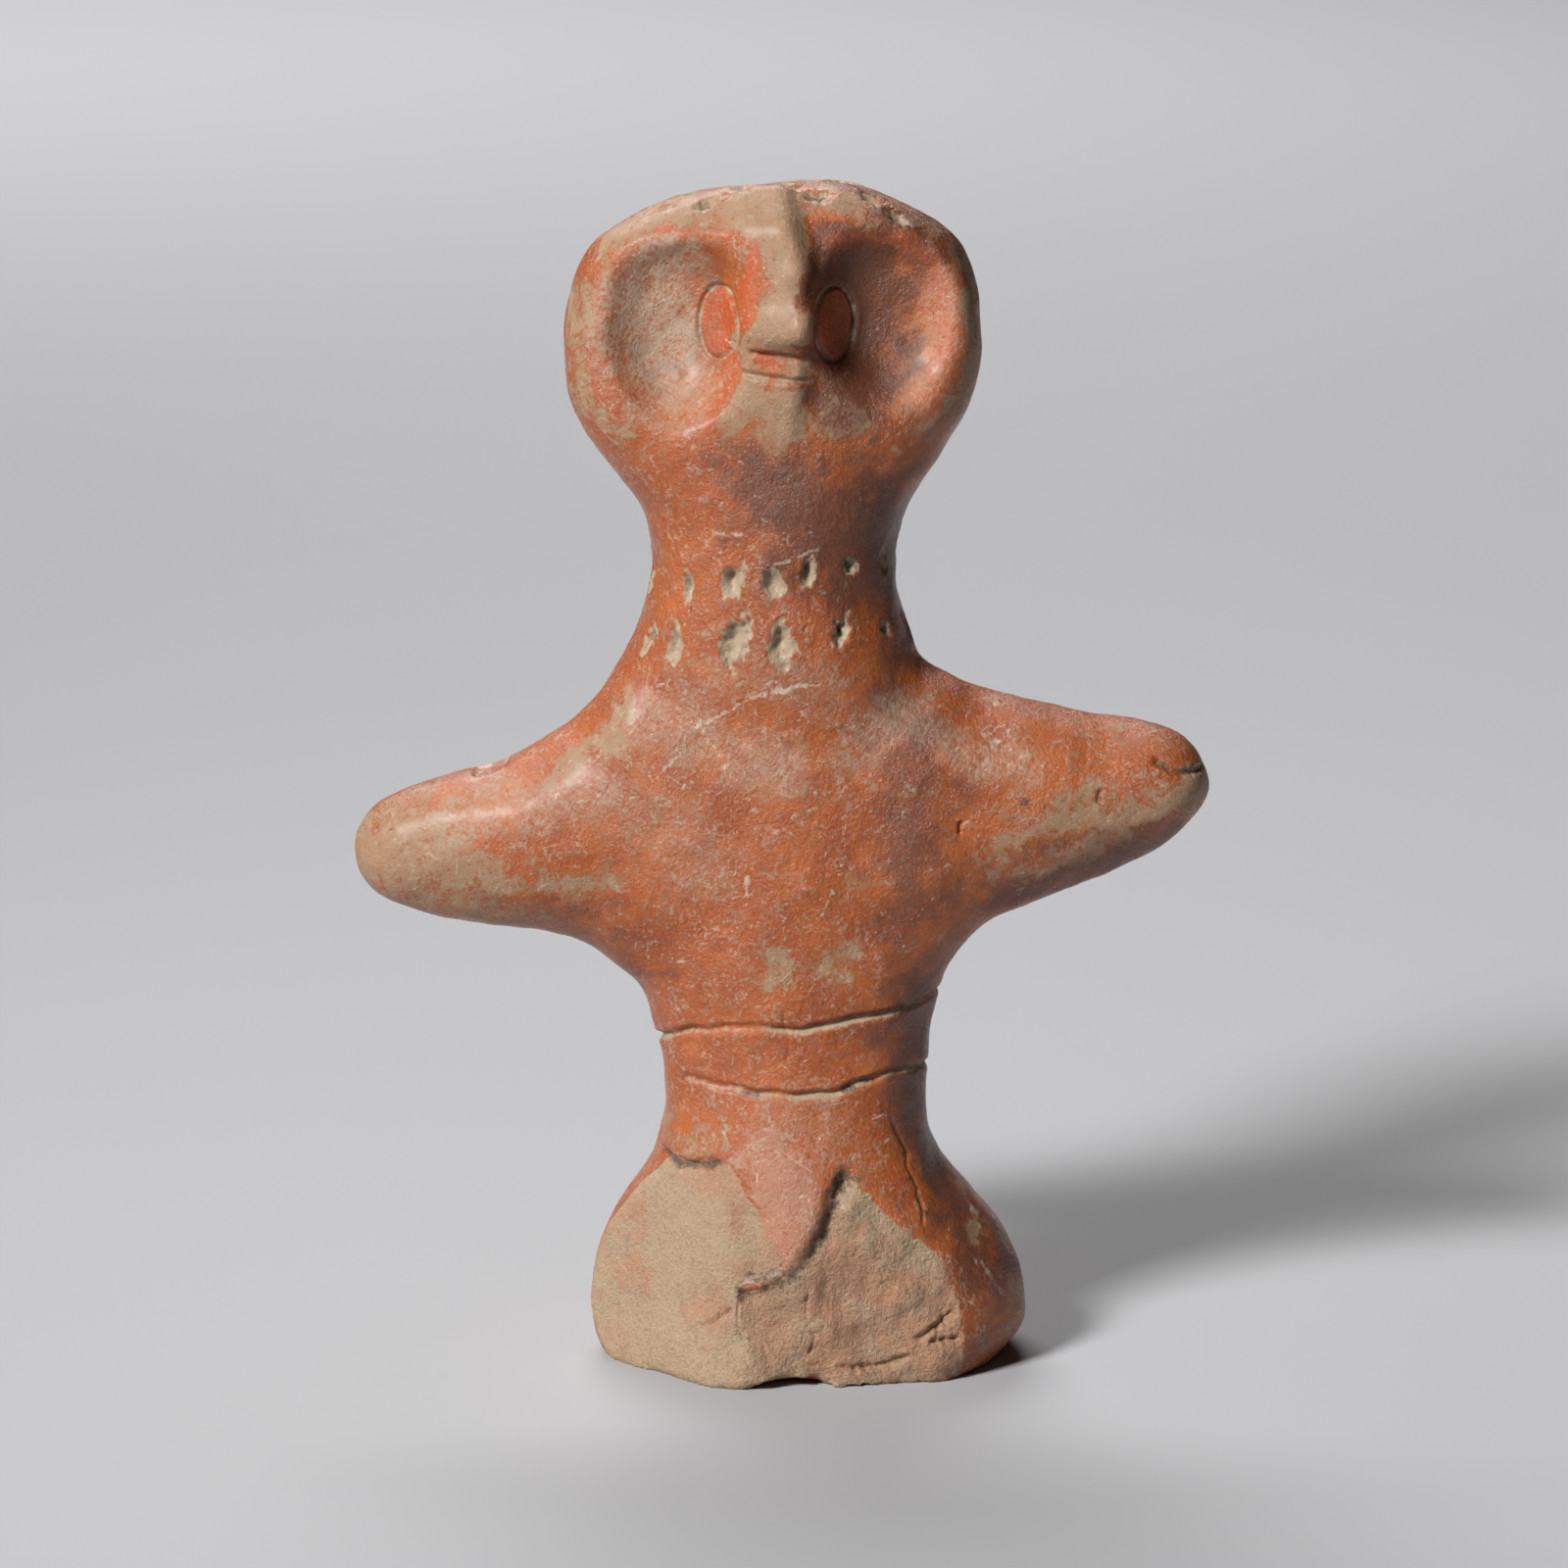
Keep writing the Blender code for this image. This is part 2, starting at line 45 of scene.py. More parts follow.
form = {
    # height, left edge, right edge, front, back, squareness of the section
    "column": (
        (-5.0, -21.0, 17.5, -17.0, 11.0, 2.1), (0.0, -25.4, 23.6, -19.5, 16.0, 2.1),
        (4.0, -27.0, 26.4, -19.5, 19.0, 2.2), (9.0, -27.0, 26.3, -18.6, 20.3, 2.3),
        (14.0, -25.7, 24.3, -17.5, 20.8, 2.2), (19.0, -23.2, 20.4, -16.7, 20.0, 2.2),
        (24.0, -19.8, 16.5, -15.5, 17.8, 2.2), (29.0, -18.2, 14.2, -14.0, 15.2, 2.2),
        (36.0, -18.2, 14.2, -12.7, 12.8, 2.2), (43.0, -19.6, 15.0, -12.4, 12.0, 2.2),
        (52.0, -22.5, 18.0, -12.8, 11.6, 2.3), (66.0, -23.0, 18.5, -12.8, 11.6, 2.4),
        (78.0, -22.5, 15.0, -12.2, 11.8, 2.3), (88.0, -21.6, 12.6, -12.9, 13.2, 2.1),
        (98.0, -19.8, 10.1, -13.0, 13.4, 2.0), (104.0, -20.1, 10.8, -12.8, 12.8, 2.0),
        (110.0, -24.3, 14.8, -12.3, 12.2, 2.2), (117.0, -28.6, 18.9, -11.8, 12.0, 2.5),
        (124.0, -29.6, 20.4, -11.4, 12.0, 2.7), (131.0, -28.3, 20.2, -10.8, 11.6, 2.7),
        (137.0, -26.2, 17.8, -10.0, 11.0, 2.6), (144.1, -20.6, 14.4, -9.0, 10.0, 2.4),
    ),
    "crownRounding": 7.5,
    # distance along X, underside, top, front, back, squareness
    "arms": (
        (-55.8, 56.4, 68.6, -7.0, 5.6, 2.0), (-51.0, 56.2, 69.4, -7.6, 6.4, 2.0),
        (-44.0, 54.2, 72.4, -9.0, 7.8, 2.0), (-36.0, 53.0, 74.6, -9.8, 8.8, 2.1),
        (-30.0, 52.3, 78.2, -10.4, 9.6, 2.2), (-26.0, 50.6, 81.3, -10.8, 10.0, 2.2),
        (-22.5, 47.4, 86.8, -11.3, 10.4, 2.3), (-12.0, 46.0, 86.0, -12.3, 11.2, 2.3),
        (5.0, 46.0, 86.0, -12.4, 11.2, 2.3), (15.0, 46.5, 85.6, -11.6, 10.6, 2.3),
        (20.0, 52.7, 82.8, -10.8, 10.0, 2.2), (26.0, 56.1, 81.4, -10.2, 9.4, 2.1),
        (34.0, 58.8, 79.8, -9.2, 8.6, 2.0), (41.0, 62.6, 78.7, -8.2, 7.6, 2.0),
        (45.0, 64.6, 77.6, -7.4, 6.8, 2.0), (49.0, 65.4, 76.0, -6.6, 6.0, 2.0),
    ),
    "handRounding": 6.0,
    "joinVoxel": 0.8,
    "joinRelax": 30,
    "pressRelax": 3,
    "skinVoxel": 0.67,
    "skinRelax": (2, 0.4),  # rounds, amount
    "unevenness": ((16.0, 0.30, 160), (7.0, 0.10, 70), (3.2, 0.03, 32)),  # wavelength, height, seed
    "proud": (30, 0.5),  # rounds that flatten the form, and how far above that counts as fully proud
}

face = {
    # deepest x and z, reach to the left, to the right, up and down
    "hollows": ((-18.0, 127.4, 8.4, 11.6, 12.6), (10.4, 128.6, 10.0, 9.2, 12.8)),
    "brim": -15.0,
    "depth": 9.8,
    "round": 2.0,
    "square": 3.3,
    "squaring": (6.0, 12.0),  # how far below the middle it starts, and over what height
    "pressSoftness": 0.8,
    # height, x and y of the ridge, fall to left and right
    "ridge": (
        (111.0, -3.8, -12.0, 0.2, 0.3), (118.0, -2.1, -12.9, 0.25, 0.6), (123.0, -1.4, -13.2, 0.25, 0.8),
        (125.2, -1.2, -13.2, 0.25, 0.9), (126.1, -1.0, -14.9, 0.42, 1.3), (132.0, -1.1, -14.3, 0.40, 1.3),
        (137.0, -1.8, -13.0, 0.35, 1.0), (141.0, -3.2, -10.8, 0.4, 0.5), (144.5, -4.0, -5.0, 0.5, 0.5),
    ),
    "ridgeReach": (6.4, 1.1),
    "ridgeDrop": (1.1, 2.4),
    "ridgeSpread": 14.0,
    "ridgeSoftness": 0.45,
    "ridgeLift": 0.15,
    # x and z of the middle, lean in degrees
    "eyes": ((-11.1, 128.1, -4.0), (2.8, 128.2, 2.0)),
    "eyeHalf": (2.3, 4.3),
    "eyeGroove": (0.30, 0.42),  # half width, depth
    "eyeSwell": (0.15, 0.2, 1.8),  # height, and the distances inside the ring where it starts and ends
    "eyeEdge": (0.1, 0.5),
    "mouth": (((-7.7, 125.2), (-4.0, 124.8), (-0.6, 124.3)), ((-8.6, 122.7), (-4.5, 122.1), (-0.4, 121.8))),
    "mouthGroove": (0.36, 0.5),
    "mouthFilling": 0.45,
}

belt = {
    "axis": (-2.0, 0.0),
    # bearing round the body in degrees, 0 at the front and 90 at the viewer's right, and height
    "upper": (
        (-180, 41.2), (-130, 39.8), (-90, 39.5), (-46, 42.8), (-15, 43.3), (5, 43.2),
        (24, 43.9), (45, 44.7), (65, 45.4), (90, 45.5), (140, 43.2), (180, 41.2),
    ),
    "lower": (
        (-60, 36.3), (-40, 35.8), (-18, 35.3), (2, 35.0), (22, 35.4), (39, 36.6),
        (58, 37.2), (90, 36.3), (150, 34.4), (210, 34.6),
    ),
    "groove": (0.42, 0.62),  # half width, depth
    "fade": 5.0,  # degrees over which a line runs out
    "wander": (0.16, 4.0, 31),  # height, wavelength, seed
    "reach": 40.0,  # the arms beyond this are left alone
}

pricks = {
    "axis": (-4.9, 0.0),
    # height, rise to the viewer's right, bearings seen from the front, spacing behind
    "neck": (
        (98.0, 1.8, (-45, -21, 2, 20, 43, 66, 88), 24),
        (90.6, 0.8, (-50, -19, 6, 37, 61, 84), 26),
    ),
    "levels": (84.0, 105.0),
    "scatter": 0.5,
    # each mark seen from the front: half width, half height, tilt, how dark the painted shade in its hole is
    "seen": (
        ((0.9, 2.5, 0.0, 0.2), (1.45, 2.4, -0.3, 0.9), (1.6, 2.1, 0.3, 0.3), (0.95, 1.8, -0.2, 1.0),
         (0.95, 1.2, 0.0, 1.0), (0.75, 1.5, 0.1, 1.0), (0.9, 1.6, 0.0, 1.0)),
        ((1.0, 2.9, 0.05, 0.6), (1.6, 3.0, -0.25, 0.5), (1.8, 2.8, -0.3, 0.7), (1.0, 2.0, -0.4, 1.0),
         (0.9, 1.2, 0.0, 0.3), (0.8, 1.5, 0.0, 1.0)),
    ),
    # the darkness of the marks behind is painted shade in their holes
    "behind": (1.1, 2.1, 0.8),  # half width, half height, darkness of the marks behind
    "depth": 0.85,
    "crownLevels": (130.0, 138.0),  # above the first a mark is the crown's, above the second it is cut
    # y, first x, last x and spacing of each row
    "crown": ((-4.2, -17.5, 11.5, 4.75), (1.8, -14.0, 9.0, 4.5)),
    "crownScatter": (0.8, 1.0),
    "crownSize": (1.7, 1.1, 0.75),  # half length, half width, depth
}

breaks = {
    # outlines as seen from the front, x and z
    "left": (
        (-18.4, 27.4), (-15.0, 26.0), (-12.6, 27.0), (-10.3, 27.0), (-8.2, 24.0), (-6.4, 21.4), (-5.2, 18.4),
        (-3.8, 16.2), (-2.6, 14.4), (-5.2, 13.4), (-8.4, 12.6), (-7.8, 6.0), (-8.4, -9.0), (-32.0, -9.0),
        (-32.0, 9.0),
    ),
    "right": (
        (3.6, 26.6), (5.4, 25.2), (7.7, 22.0), (10.0, 19.8), (13.2, 17.2), (15.8, 14.6), (17.4, 11.4),
        (18.4, 6.5), (18.2, 2.0), (16.5, -9.0), (-8.8, -9.0), (-8.3, 6.0), (-8.8, 12.3), (-5.2, 12.9),
        (-2.6, 14.2), (-0.6, 16.6), (0.8, 19.4), (2.2, 23.4),
    ),
    "chips": (0.9, 0.2),  # their spacing along the outline and their depth; deeper than 0.2 the cuts fail
    "seeds": {"left": 3, "right": 8},
    # y at the middle, change with x, change with z
    "leftSide": (-29.4, -0.95, 0.19),
    "leftAhead": (-18.9, 0.0, 0.18),
    "leftTurn": 1.6,
    "leftGrain": 0.12,
    "leftRelief": ((3.0, 0.07, 24), (1.2, 0.045, 25)),  # wavelength, height, seed
    "rightAhead": (-17.9, 0.16, 0.1),
    "rightGrain": 0.28,
    "rightRelief": ((4.2, 0.16, 21), (2.1, 0.13, 22), (1.1, 0.07, 23)),
    # waves of the broken clay: change with x, change with z, start, height
    "rough": ((0.55, 0.3, 0, 1.0), (0.35, -0.8, 2, 0.8), (1.1, 0.7, 1, 0.5)),
    "ledge": ((-8.6, 12.5), (3.2, 24.5)),
    "scoop": 2.0,
    "scoopWidth": 2.0,
    "footForward": (9.0, -2.0, 5.0),  # height, x where it starts, width
    "grid": 0.9,
    "blockFront": -60.0,
    "outlineDepths": (-50.0, 14.0),  # y of the outline's front and back
    "footChip": (-2.4, -19.4, 5.6, 5.0, 1.5),  # x, y, half width, half depth, half height
}


def smoothBetween(stations, at):
    # a cubic curve through the stations, whose slopes are those between each one's neighbours
    table = np.array(stations, float)
    place, value = table[:, 0], table[:, 1:]
    slope = np.gradient(value, place, axis=0)
    start = np.clip(np.searchsorted(place, at, side="right") - 1, 0, len(place) - 2)
    span = (place[start + 1] - place[start])[:, None]
    s = (np.asarray(at) - place[start])[:, None] / span
    rise = (2 * s**3 - 3 * s**2 + 1) * value[start] + (3 * s**2 - 2 * s**3) * value[start + 1]
    return rise + span * ((s**3 - 2 * s**2 + s) * slope[start] + (s**3 - s**2) * slope[start + 1])


def easeStep(value, low, high):
    # 0 below low, 1 above high, an S-shaped rise between
    t = np.clip((value - low) / (high - low), 0, 1)
    return t * t * (3 - 2 * t)


def blendMax(a, b, soft):
    # the greater of two, rounded off over a width of soft where they cross
    return (a + b + np.sqrt((a - b) ** 2 + soft**2)) / 2


def waves(points, length, seed):
    # a smooth uneven field: 14 sines of about the same wavelength in seeded directions, about -1 to 1
    draw = np.random.default_rng(seed)
    ways = draw.normal(size=(14, 3))
    ways *= tau / length * draw.uniform(0.7, 1.4, (14, 1)) / np.linalg.norm(ways, axis=1)[:, None]
    return np.sin(points @ ways.T + draw.uniform(0, tau, 14)).sum(1) / 14**0.5 * 0.8


def swells(points, table):
    # waves of several lengths added up
    return sum(height * waves(points, length, seed) for length, height, seed in table)


def bell(gap, width):
    # 1 where the gap is 0, falling off as exp(-(gap / width)^2)
    return np.exp(-((gap / width) ** 2))


def ovalTube(stations, roundings, along, across, steps=150, sides=72):
    # an oval |cos|^(2/n), |sin|^(2/n) carried through the stations; the ends swell like a ball
    first, last = stations[0][0], stations[-1][0]
    at = (first + last) / 2 - (last - first) / 2 * np.cos(np.linspace(0.02, np.pi - 0.02, steps))
    low, high, front, back, power = smoothBetween(stations, at).T[:, :, None]
    swell = np.ones(steps)
    if roundings[0]:
        swell *= np.sqrt(1 - np.clip(1 - (at - first) / roundings[0], 0, 1) ** 2)
    if roundings[1]:
        swell *= np.sqrt(1 - np.clip(1 - (last - at) / roundings[1], 0, 1) ** 2)
    turn = np.linspace(0, tau, sides, endpoint=False)[None, :]
    wide = np.sign(np.cos(turn)) * np.abs(np.cos(turn)) ** (2 / power)
    deep = np.sign(np.sin(turn)) * np.abs(np.sin(turn)) ** (2 / power)
    rings = np.empty((steps, sides, 3))
    rings[:, :, along] = at[:, None]
    rings[:, :, across] = (low + high) / 2 + (high - low) / 2 * wide * swell[:, None]
    rings[:, :, 1] = np.where(deep < 0, -front, back) * deep * swell[:, None]
    ring = np.arange(sides)
    row = np.arange(steps - 1)[:, None] * sides
    quads = np.stack((row + ring, row + (ring + 1) % sides), -1)
    quads = np.concatenate((quads, quads[..., ::-1] + sides), -1).reshape(-1, 4)
    ends = [list(ring[::-1]), list(ring + (steps - 1) * sides)]
    return rings.reshape(-1, 3), quads.tolist() + ends


def solidObject(name, points, faces):
    # a closed mesh object with its faces turned outwards
    mesh = bpy.data.meshes.new(name)
    mesh.from_pydata(np.asarray(points, float).tolist(), [], faces)
    shell = bmesh.new()
    shell.from_mesh(mesh)
    bmesh.ops.recalc_face_normals(shell, faces=shell.faces)
    shell.to_mesh(mesh)
    shell.free()
    made = bpy.data.objects.new(name, mesh)
    bpy.context.scene.collection.objects.link(made)
    return made


def settle(piece):
    # keeps what the modifiers give as the object's own mesh
    bpy.context.view_layer.update()
    graph = bpy.context.evaluated_depsgraph_get()
    result = bpy.data.meshes.new_from_object(piece.evaluated_get(graph))
    piece.modifiers.clear()
    piece.data = result


def remesh(piece, size):
    # one closed skin of even cells
    step = piece.modifiers.new("remesh", "REMESH")
    step.mode = "VOXEL"
    step.voxel_size = size
    settle(piece)


def relax(piece, rounds):
    # softens the form, each point moving halfway to its neighbours' mean
    step = piece.modifiers.new("relax", "SMOOTH")
    step.factor = 0.5
    step.iterations = rounds
    settle(piece)


def combine(piece, tool, operation):
    # adds, cuts away or keeps what lies in the tool, and removes the tool
    step = piece.modifiers.new("combine", "BOOLEAN")
    step.operation = operation
    step.solver = "EXACT"
    step.object = tool
    settle(piece)
    bpy.data.objects.remove(tool)


def readPoints(mesh):
    # one row of x, y, z for each vertex
    flat = np.empty(len(mesh.vertices) * 3)
    mesh.vertices.foreach_get("co", flat)
    return flat.reshape(-1, 3)


def shapeFace(points):
    # each hollow is a bowl, brim + depth * sqrt(1 - |x|^n - |z|^n); the nose is a ridge with falling flanks
    x, y, z = points.T.copy()
    front = y < 0
    below, over = face["squaring"]
    for cx, cz, left, right, tall in face["hollows"]:
        square = face["round"] + (face["square"] - face["round"]) * np.clip((z - cz + below) / over, 0, 1)
        offX = np.abs(x - cx) / np.where(x < cx, left, right)
        inside = np.clip(1 - offX**square - (np.abs(z - cz) / tall) ** square, 0, 1)
        floor = face["brim"] + face["depth"] * np.sqrt(inside)
        y = np.where(front & (inside > 0), blendMax(y, floor, face["pressSoftness"]), y)
    low, high = face["ridge"][0][0], face["ridge"][-1][0]
    ridgeX, ridgeY, fallLeft, fallRight = smoothBetween(face["ridge"], np.clip(z, low, high)).T
    side = x - ridgeX
    flank = ridgeY + np.where(side < 0, -side * fallLeft, side * fallRight)
    flank += face["ridgeDrop"][0] * np.clip(-side - face["ridgeReach"][0], 0, None)
    flank += face["ridgeDrop"][1] * np.clip(side - face["ridgeReach"][1], 0, None)
    onRidge = front & (z > low - 1) & (z < high + 1) & (np.abs(side) < face["ridgeSpread"])
    soft = face["ridgeSoftness"]
    y = np.where(onRidge, -blendMax(-y, -flank, soft) + soft * face["ridgeLift"], y)
    return np.column_stack((x, y, z))


def rough(x, z):
    # low waves of broken clay crossing at odd angles
    return sum(height * np.sin(across * x + up * z + start) for across, up, start, height in breaks["rough"])


def plane(slopes, x, z):
    # a depth that changes steadily with x and z
    return slopes[0] + slopes[1] * x + slopes[2] * z


def leftFace(x, z):
    # a plane facing front-left that turns to face front near the middle
    turned = blendMax(plane(breaks["leftSide"], x, z), plane(breaks["leftAhead"], x, z), breaks["leftTurn"])
    return turned + breaks["leftGrain"] * rough(x, z)


def rightFace(x, z):
    # a rougher plane, scooped under the ledge and level with the left break at the foot
    (ax, az), (bx, bz) = breaks["ledge"]
    past = ((x - ax) * (bz - az) - (z - az) * (bx - ax)) / np.hypot(bx - ax, bz - az)
    scoop = breaks["scoop"] * bell(np.clip(past, 0, None), breaks["scoopWidth"])
    height, start, width = breaks["footForward"]
    foot = np.clip(1 - z / height, 0, 1) * np.clip((start - x) / width, 0, 1)
    ahead = plane(breaks["rightAhead"], np.clip(x, -1, None), z)
    return ahead + scoop - foot + breaks["rightGrain"] * rough(x + 3, z)


def chipped(side):
    # the outline cut into short steps, each pushed sideways a little, as fired clay chips along a break
    outline, seed = breaks[side], breaks["seeds"][side]
    spacing, depth = breaks["chips"]
    ring = np.array(outline + outline[:1], float)
    length = np.hypot(*np.diff(ring, axis=0).T)
    place = np.concatenate(((0,), np.cumsum(length)))
    at = np.linspace(0, place[-1], int(place[-1] / spacing), endpoint=False)
    x, z = np.interp(at, place, ring[:, 0]), np.interp(at, place, ring[:, 1])
    push = np.random.default_rng(seed).normal(size=(2, len(at))) * depth * 0.6
    push += depth * np.array((np.sin(at * 1.1 + seed), np.sin(at * 0.7 + 2 * seed)))
    push *= z > -3  # below the ground it stays as it is
    return np.column_stack((x + push[0], z + push[1]))


def breakTool(outline, depth):
    # a block whose back is the rough face y = depth(x, z), kept only inside the outline
    step = breaks["grid"]
    lowX, lowZ = outline.min(0) - step
    highX, highZ = outline.max(0) + step
    gx, gz = np.meshgrid(np.arange(lowX, highX, step), np.arange(lowZ, highZ, step))
    rows, columns = gx.shape
    count = rows * columns
    back = np.stack((gx, depth(gx, gz), gz), -1).reshape(-1, 3)
    near = back * (1, 0, 1) + (0, breaks["blockFront"], 0)
    index = np.arange(count).reshape(rows, columns)
    quads = np.stack((index[:-1, :-1], index[:-1, 1:], index[1:, 1:], index[1:, :-1]), -1).reshape(-1, 4)
    rim = np.concatenate((index[0, :-1], index[:-1, -1], index[-1, :0:-1], index[:0:-1, 0]))
    wall = np.stack((rim, np.roll(rim, -1), np.roll(rim, -1) + count, rim + count), -1)
    faces = np.concatenate((quads, quads[:, ::-1] + count, wall)).tolist()
    tool = solidObject("break", np.concatenate((back, near)), faces)
    corners = len(outline)
    ring = np.arange(corners)
    prismPoints = np.concatenate([np.column_stack((outline[:, 0], np.full(corners, y), outline[:, 1]))
                                  for y in breaks["outlineDepths"]])
    sides = np.stack((ring, (ring + 1) % corners, (ring + 1) % corners + corners, ring + corners), -1).tolist()
    prism = solidObject("outline", prismPoints, sides + [list(ring), list(ring[::-1] + corners)])
    combine(tool, prism, "INTERSECT")
    return tool


def levelUnderside(piece):
    # cuts the form level at the ground and closes it with one face
    shell = bmesh.new()
    shell.from_mesh(piece.data)
    whole = shell.verts[:] + shell.edges[:] + shell.faces[:]
    bmesh.ops.bisect_plane(shell, geom=whole, plane_co=(0, 0, 0), plane_no=(0, 0, -1), clear_outer=True)
    bmesh.ops.holes_fill(shell, edges=[edge for edge in shell.edges if edge.is_boundary], sides=0)
    shell.to_mesh(piece.data)
    shell.free()


def footChip():
    # a flat ball cut from the foot at the front, which leaves a low gap over the ground
    x, y, wide, deep, tall = breaks["footChip"]
    tool = bmesh.new()
    bmesh.ops.create_icosphere(tool, subdivisions=3, radius=1.0)
    points = np.array([corner.co for corner in tool.verts]) * (wide, deep, tall) + (x, y, 0)
    faces = [[corner.index for corner in face.verts] for face in tool.faces]
    tool.free()
    return solidObject("footChip", points, faces)


def insideOutline(outline, x, z):
    # how many edges a level ray crosses, odd inside
    ax, az = outline.T
    bx, bz = np.roll(outline, -1, axis=0).T
    crossing = np.zeros(x.shape, int)
    for i in range(len(outline)):
        spans = (az[i] > z) != (bz[i] > z)
        rise = bz[i] - az[i] if bz[i] != az[i] else 1e-9
        crossing += spans & (x < (bx[i] - ax[i]) * (z - az[i]) / rise + ax[i])
    return crossing % 2 == 1


def nearPath(path, u, v, reach, steps=24):
    # shortest distance from each (u, v) to the smooth curve through the path, and how far along it lies
    path = np.array(path, float)
    run = np.concatenate(((0,), np.cumsum(np.hypot(*np.diff(path, axis=0).T))))
    route = smoothBetween(np.column_stack((run, path)), np.linspace(0, run[-1], steps + 1))
    low, high = route.min(0) - reach, route.max(0) + reach
    close = np.flatnonzero((u > low[0]) & (u < high[0]) & (v > low[1]) & (v < high[1]))
    spot = np.column_stack((u[close], v[close]))
    best, where = np.full(len(close), 1e3), np.zeros(len(close))
    for i, (a, b) in enumerate(zip(route, route[1:])):
        way = b - a
        s = np.clip((spot - a) @ way / max(way @ way, 1e-12), 0, 1)
        off = np.hypot(*(spot - a - s[:, None] * way).T)
        nearer = off < best
        best[nearer] = off[nearer]
        where[nearer] = (i + s[nearer]) / steps
    gap, along = np.full(u.shape, 1e3), np.zeros(u.shape)
    gap[close], along[close] = best, where
    return gap, along


def bearingOf(points, axis):
    # degrees round the axis from the front, and distance from it
    x, y = points[:, 0] - axis[0], points[:, 1] - axis[1]
    return np.degrees(np.arctan2(x, -y)), np.hypot(x, y)


def beltGap(points, line):
    # height above the belt line; a line that runs past 180 degrees carries on at the left
    bearing, _ = bearingOf(points, belt["axis"])
    first, last = line[0][0], line[-1][0]
    shown = np.where(bearing < first, bearing + 360, bearing)
    height = smoothBetween(line, np.clip(shown, first, last))[:, 0]
    return points[:, 2] - height, np.where(shown > last, shown - last, 0)


def eyeGap(points, eye):
    # distance to the eye's oval, less than 0 inside
    x, z, lean = eye
    u, v = points[:, 0] - x, points[:, 2] - z
    a = u * cos(radians(lean)) + v * sin(radians(lean))
    b = v * cos(radians(lean)) - u * sin(radians(lean))
    half = face["eyeHalf"]
    size = np.hypot(a / half[0], b / half[1])
    return (size - 1) * size / np.maximum(np.hypot(a / half[0] ** 2, b / half[1] ** 2), 1e-6)


def neckPricks():
    # bearing, height, half width, half height, tilt and darkness of each prick round the neck
    spots = []
    for row, (level, rise, seen, spacing) in enumerate(pricks["neck"]):
        behind = np.arange(seen[-1] + spacing, 360 + seen[0] - spacing / 2, spacing)
        for i, bearing in enumerate((*seen, *behind)):
            height = level + rise * sin(radians(bearing)) + pricks["scatter"] * sin(2.3 * i)
            if i < len(seen):
                wide, tall, tilt, dark = pricks["seen"][row][i]
            else:
                wide, tall, dark = pricks["behind"]
                wide, tall, tilt = wide * (1 + 0.25 * sin(4.1 * i + row)), tall, 0.3 * cos(1.7 * i)
            spots.append((bearing, height, wide, tall, tilt, dark))
    return spots


def crownPricks():
    # x, y and tilt of each prick over the crown
    spots = []
    for y, first, last, spacing in pricks["crown"]:
        for i, x in enumerate(np.arange(first, last, spacing)):
            push = pricks["crownScatter"]
            spots.append((x + push[0] * sin(2.9 * i), y + push[1] * cos(3.7 * i), 0.5 * sin(2.1 * i)))
    return spots


def prickFields(points):
    # for every prick the egg-shaped distance from its middle, 1 at its rim; the smallest is kept,
    # with its hole, cut deeper and darkened as painted shade, which sits high and to the left in it under the rim
    # nearest the light
    nearest, hole = np.full(len(points), 9.0), np.zeros(len(points))
    bearing, radius = bearingOf(points, pricks["axis"])
    low, high = pricks["levels"]
    onNeck = np.flatnonzero((points[:, 2] > low) & (points[:, 2] < high))
    for spot, height, wide, tall, tilt, dark in neckPricks():
        turn = (bearing[onNeck] - spot + 180) % 360 - 180
        u, v = np.radians(turn) * radius[onNeck], points[onNeck, 2] - height
        a, b = u * cos(tilt) + v * sin(tilt), v * cos(tilt) - u * sin(tilt)
        nearest[onNeck] = np.minimum(nearest[onNeck], np.hypot(a / wide, b / tall))
        pit = np.hypot((a + 0.25 * wide) / (0.42 * wide), (b - 0.3 * tall) / (0.4 * tall))
        hole[onNeck] = np.maximum(hole[onNeck], dark * (1 - easeStep(pit, 0.5, 1.3)))
    wide, tall, _ = pricks["crownSize"]
    onTop = np.flatnonzero(points[:, 2] > pricks["crownLevels"][1])
    for x, y, tilt in crownPricks():
        u, v = points[onTop, 0] - x, points[onTop, 1] - y
        a, b = u * cos(tilt) + v * sin(tilt), v * cos(tilt) - u * sin(tilt)
        nearest[onTop] = np.minimum(nearest[onTop], np.hypot(a / wide, b / tall))
        pit = np.hypot(a / wide - 0.2, b / tall)
        # the hole of each crown pit is cut deeper and darkened as painted shade
        hole[onTop] = np.maximum(hole[onTop], 0.95 * (1 - easeStep(pit, 0.2, 0.6)))
    return nearest, hole


# Cracks that are both cut and darkened, as x and z on the front; under the overhang the dark is painted shadow.
crackPaths = {
    "hip": ((9.1, 32.7), (10.5, 29.2), (11.4, 27.4), (11.6, 25.7), (12.5, 23.6), (13.2, 21.1), (13.7, 17.9)),
    "belly": ((-3.2, 46.5), (-3.4, 44.0), (-2.7, 41.6), (-3.0, 38.9)),
    "hand": ((40.7, 75.5), (43.4, 73.8), (47.8, 73.5)),
    "armpit": ((17.8, 68.7), (17.8, 66.9)),
    "arm": ((34.5, 72.0), (34.5, 70.2)),
    "overhang": ((-18.0, 26.8), (-16.4, 25.8), (-13.8, 26.1), (-10.9, 27.0)),
}
